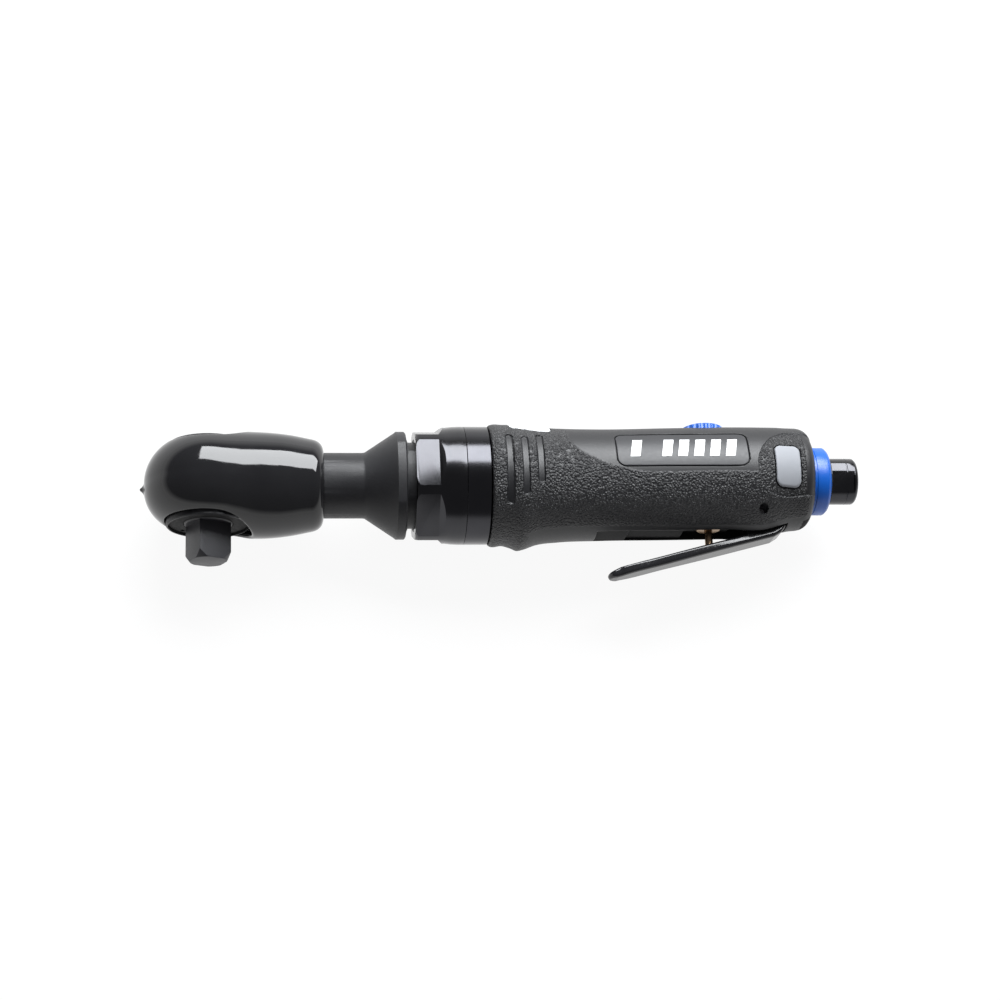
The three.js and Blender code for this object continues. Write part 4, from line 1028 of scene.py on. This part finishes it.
def make_dial(materials):
    piece = lathe("dial", [
        (4.6, 2.9), (4.6, 6.15), (11.5, 6.15), (11.5, 4.9), (13.5, 4.9), (13.5, 6.15),
        (DIAL_Y, 6.15), (DIAL_Y, DIAL_R - 0.2), (DIAL_Y + 0.2, DIAL_R), (22.5, DIAL_R),
        (22.9, DIAL_R - 0.25), (23.2, DIAL_R - 0.8), (23.3, DIAL_R - 1.6), (23.3, 0), (9, 0),
        (9, 2.9)], "Y", 96)
    flutes = []
    for i in range(DIAL_FLUTES):
        angle = 2 * math.pi * (i + 0.5) / DIAL_FLUTES
        place = ((DIAL_R + 0.6) * math.cos(angle), 0, (DIAL_R + 0.6) * math.sin(angle))
        flutes.append(lathe("flute", [(DIAL_Y + 0.5, 0), (DIAL_Y + 0.5, 1.1), (30, 1.4),
                                      (30, 0)], "Y", 24, place))
    cut(piece, *flutes)
    cut(piece, block("driver_slot", (-4.4, 4.4), (22.2, 24), (-0.6, 0.6)))
    bevel(piece, 0.18, 2, 35)
    piece.data.transform(Matrix.Translation((VALVE_X * MM, 0, 0)))
    shade(piece)
    finished(piece, "regulator_dial", ["regulator_dial"],
             materials["blue_plastic"])


# ---- inlet and exhaust ------------------------------------------------------------------------

INLET_R = 8.97
WRENCH_FLAT_TURN = 17.5


def make_inlet(materials):
    centre = (0, INLET_Y, 0)
    piece = lathe("inlet", [
        (206, 0), (206, 8), (219, 8), (219, 6.9), (221, 6.9), (221, 8), (222.3, 8),
        (222.3, INLET_R), (237.3, INLET_R), (237.3, 8.3), (238.1, 8.3), (238.1, INLET_R),
        (243.95, INLET_R), (244.1, INLET_R - 0.18), (244.4, INLET_R - 0.18),
        (244.55, INLET_R), (247.2, INLET_R), (247.6, INLET_R - 0.1), (248.4, 8.15),
        (248.5, 7.9), (248.5, 0)], "X", 96, centre)
    cut(piece, lathe("bore", [(200, 0), (200, 4.2), (229.8, 4.2), (229.8, 5.7), (247.7, 5.7),
                              (250, 7.4), (250, 0)], "X", 64, centre),
        *[turned(block("flat", (237.4, 247), (-20, 20), (8, 12)), "X", angle, centre)
          for angle in (WRENCH_FLAT_TURN, WRENCH_FLAT_TURN + 180)])
    bevel(piece, 0.15, 2, 40)
    shade(piece)
    finished(piece, "housing", ["inlet_bushing"], materials["polished_steel"])


def make_deflector(materials):
    centre = (0, INLET_Y, 0)
    inner = INLET_R + 0.15
    piece = lathe("deflector", [
        (229.2, inner), (229.2, 12.7), (229.4, 12.85), (231.3, 12.85), (231.5, 13.05),
        (231.8, 13.1), (235.6, 13.1), (235.95, 12.95), (236.85, 12.1), (237, 11.8),
        (237, inner)], "X", 128, centre)
    ports = []
    for i in range(4):
        port = block("port", (228, 233), (10.2, 11.8), (-1.6, 1.6))
        turned(port, "X", 150 + 20 * i)
        port.data.transform(Matrix.Translation((0, INLET_Y * MM, 0)))
        ports.append(port)
    cut(piece, *ports)
    shade(piece)
    finished(piece, "exhaust_deflector", ["exhaust_deflector"],
             materials["blue_plastic"])


# ---- stage ------------------------------------------------------------------------------------

FLOOR_HALF = 6
FLOOR_GAP = 0.0004  # below the part


def make_floor():
    low, _ = CAD_BOX
    height = low.z - FLOOR_GAP
    corners = [(-1, -1), (1, -1), (1, 1), (-1, 1)]
    mesh = bpy.data.meshes.new("floor")
    mesh.from_pydata([(x * FLOOR_HALF, y * FLOOR_HALF, height) for x, y in corners], [],
                     [(0, 1, 2, 3)])
    floor = bpy.data.objects.new("floor", mesh)
    bpy.context.scene.collection.objects.link(floor)
    n = Nodes("floor")
    n.colour(n.mix(n.noise(400, 2), (0.06, 0.06, 0.06), (0.065, 0.065, 0.065)))
    n.set(Roughness=1, Emission_Color=(1, 1, 1, 1), Emission_Strength=0.93)
    mesh.materials.append(n.material)


def area_light(name, place, aim, size, power, colour=(1, 1, 1)):
    data = bpy.data.lights.new(name, "AREA")
    data.shape = "RECTANGLE"
    data.size, data.size_y = size
    data.energy = power
    data.color = colour
    light = bpy.data.objects.new(name, data)
    light.location = place
    light.rotation_mode = "QUATERNION"
    light.rotation_quaternion = (Vector(aim) - Vector(place)).to_track_quat("-Z", "Y")
    bpy.context.scene.collection.objects.link(light)


def make_light():
    middle = (0.11, 0.03, 0)
    area_light("key", (0.281, 0.695, 0.618), middle, (1.0, 0.62), 27, (0.96, 0.98, 1))
    world = bpy.data.worlds.new("studio")
    world.use_nodes = True
    bpy.context.scene.world = world
    tree = world.node_tree
    back = tree.nodes["Background"]
    where = tree.nodes.new("ShaderNodeTexCoord")
    split = tree.nodes.new("ShaderNodeSeparateXYZ")
    ramp = tree.nodes.new("ShaderNodeValToRGB")
    tree.links.new(where.outputs["Generated"], split.inputs[0])
    tree.links.new(split.outputs["Z"], ramp.inputs["Fac"])
    tree.links.new(ramp.outputs["Color"], back.inputs["Color"])
    ramp.color_ramp.elements[0].position = 0.05
    ramp.color_ramp.elements[0].color = (1, 1, 1, 1)
    ramp.color_ramp.elements[1].position = 0.25
    ramp.color_ramp.elements[1].color = (0.17, 0.17, 0.18, 1)
    back.inputs["Strength"].default_value = 1.0


# ---- assembly ---------------------------------------------------------------------------------

def dress_cad_nodes(materials):
    """Each node that stays as CAD takes the finish of its own slot."""
    for part in frame["record"]["subparts"]:
        node = frame["nodes"][part["node"]]
        node.data.materials.clear()
        node.data.materials.append(materials[part["material_slot"]])


make_camera()
make_floor()
make_light()
MATERIALS = make_materials()
dress_cad_nodes(MATERIALS)
make_boot(MATERIALS)
make_housing(MATERIALS)
make_anvil(MATERIALS)
make_retaining_plate(MATERIALS)
make_knob(MATERIALS)
make_nut(MATERIALS)
make_motor_housing(MATERIALS)
make_grip(MATERIALS)
make_plates(MATERIALS)
make_lever(MATERIALS)
make_valve(MATERIALS)
make_dial(MATERIALS)
make_inlet(MATERIALS)
make_deflector(MATERIALS)

bpy.context.scene.view_settings.view_transform = "Standard"
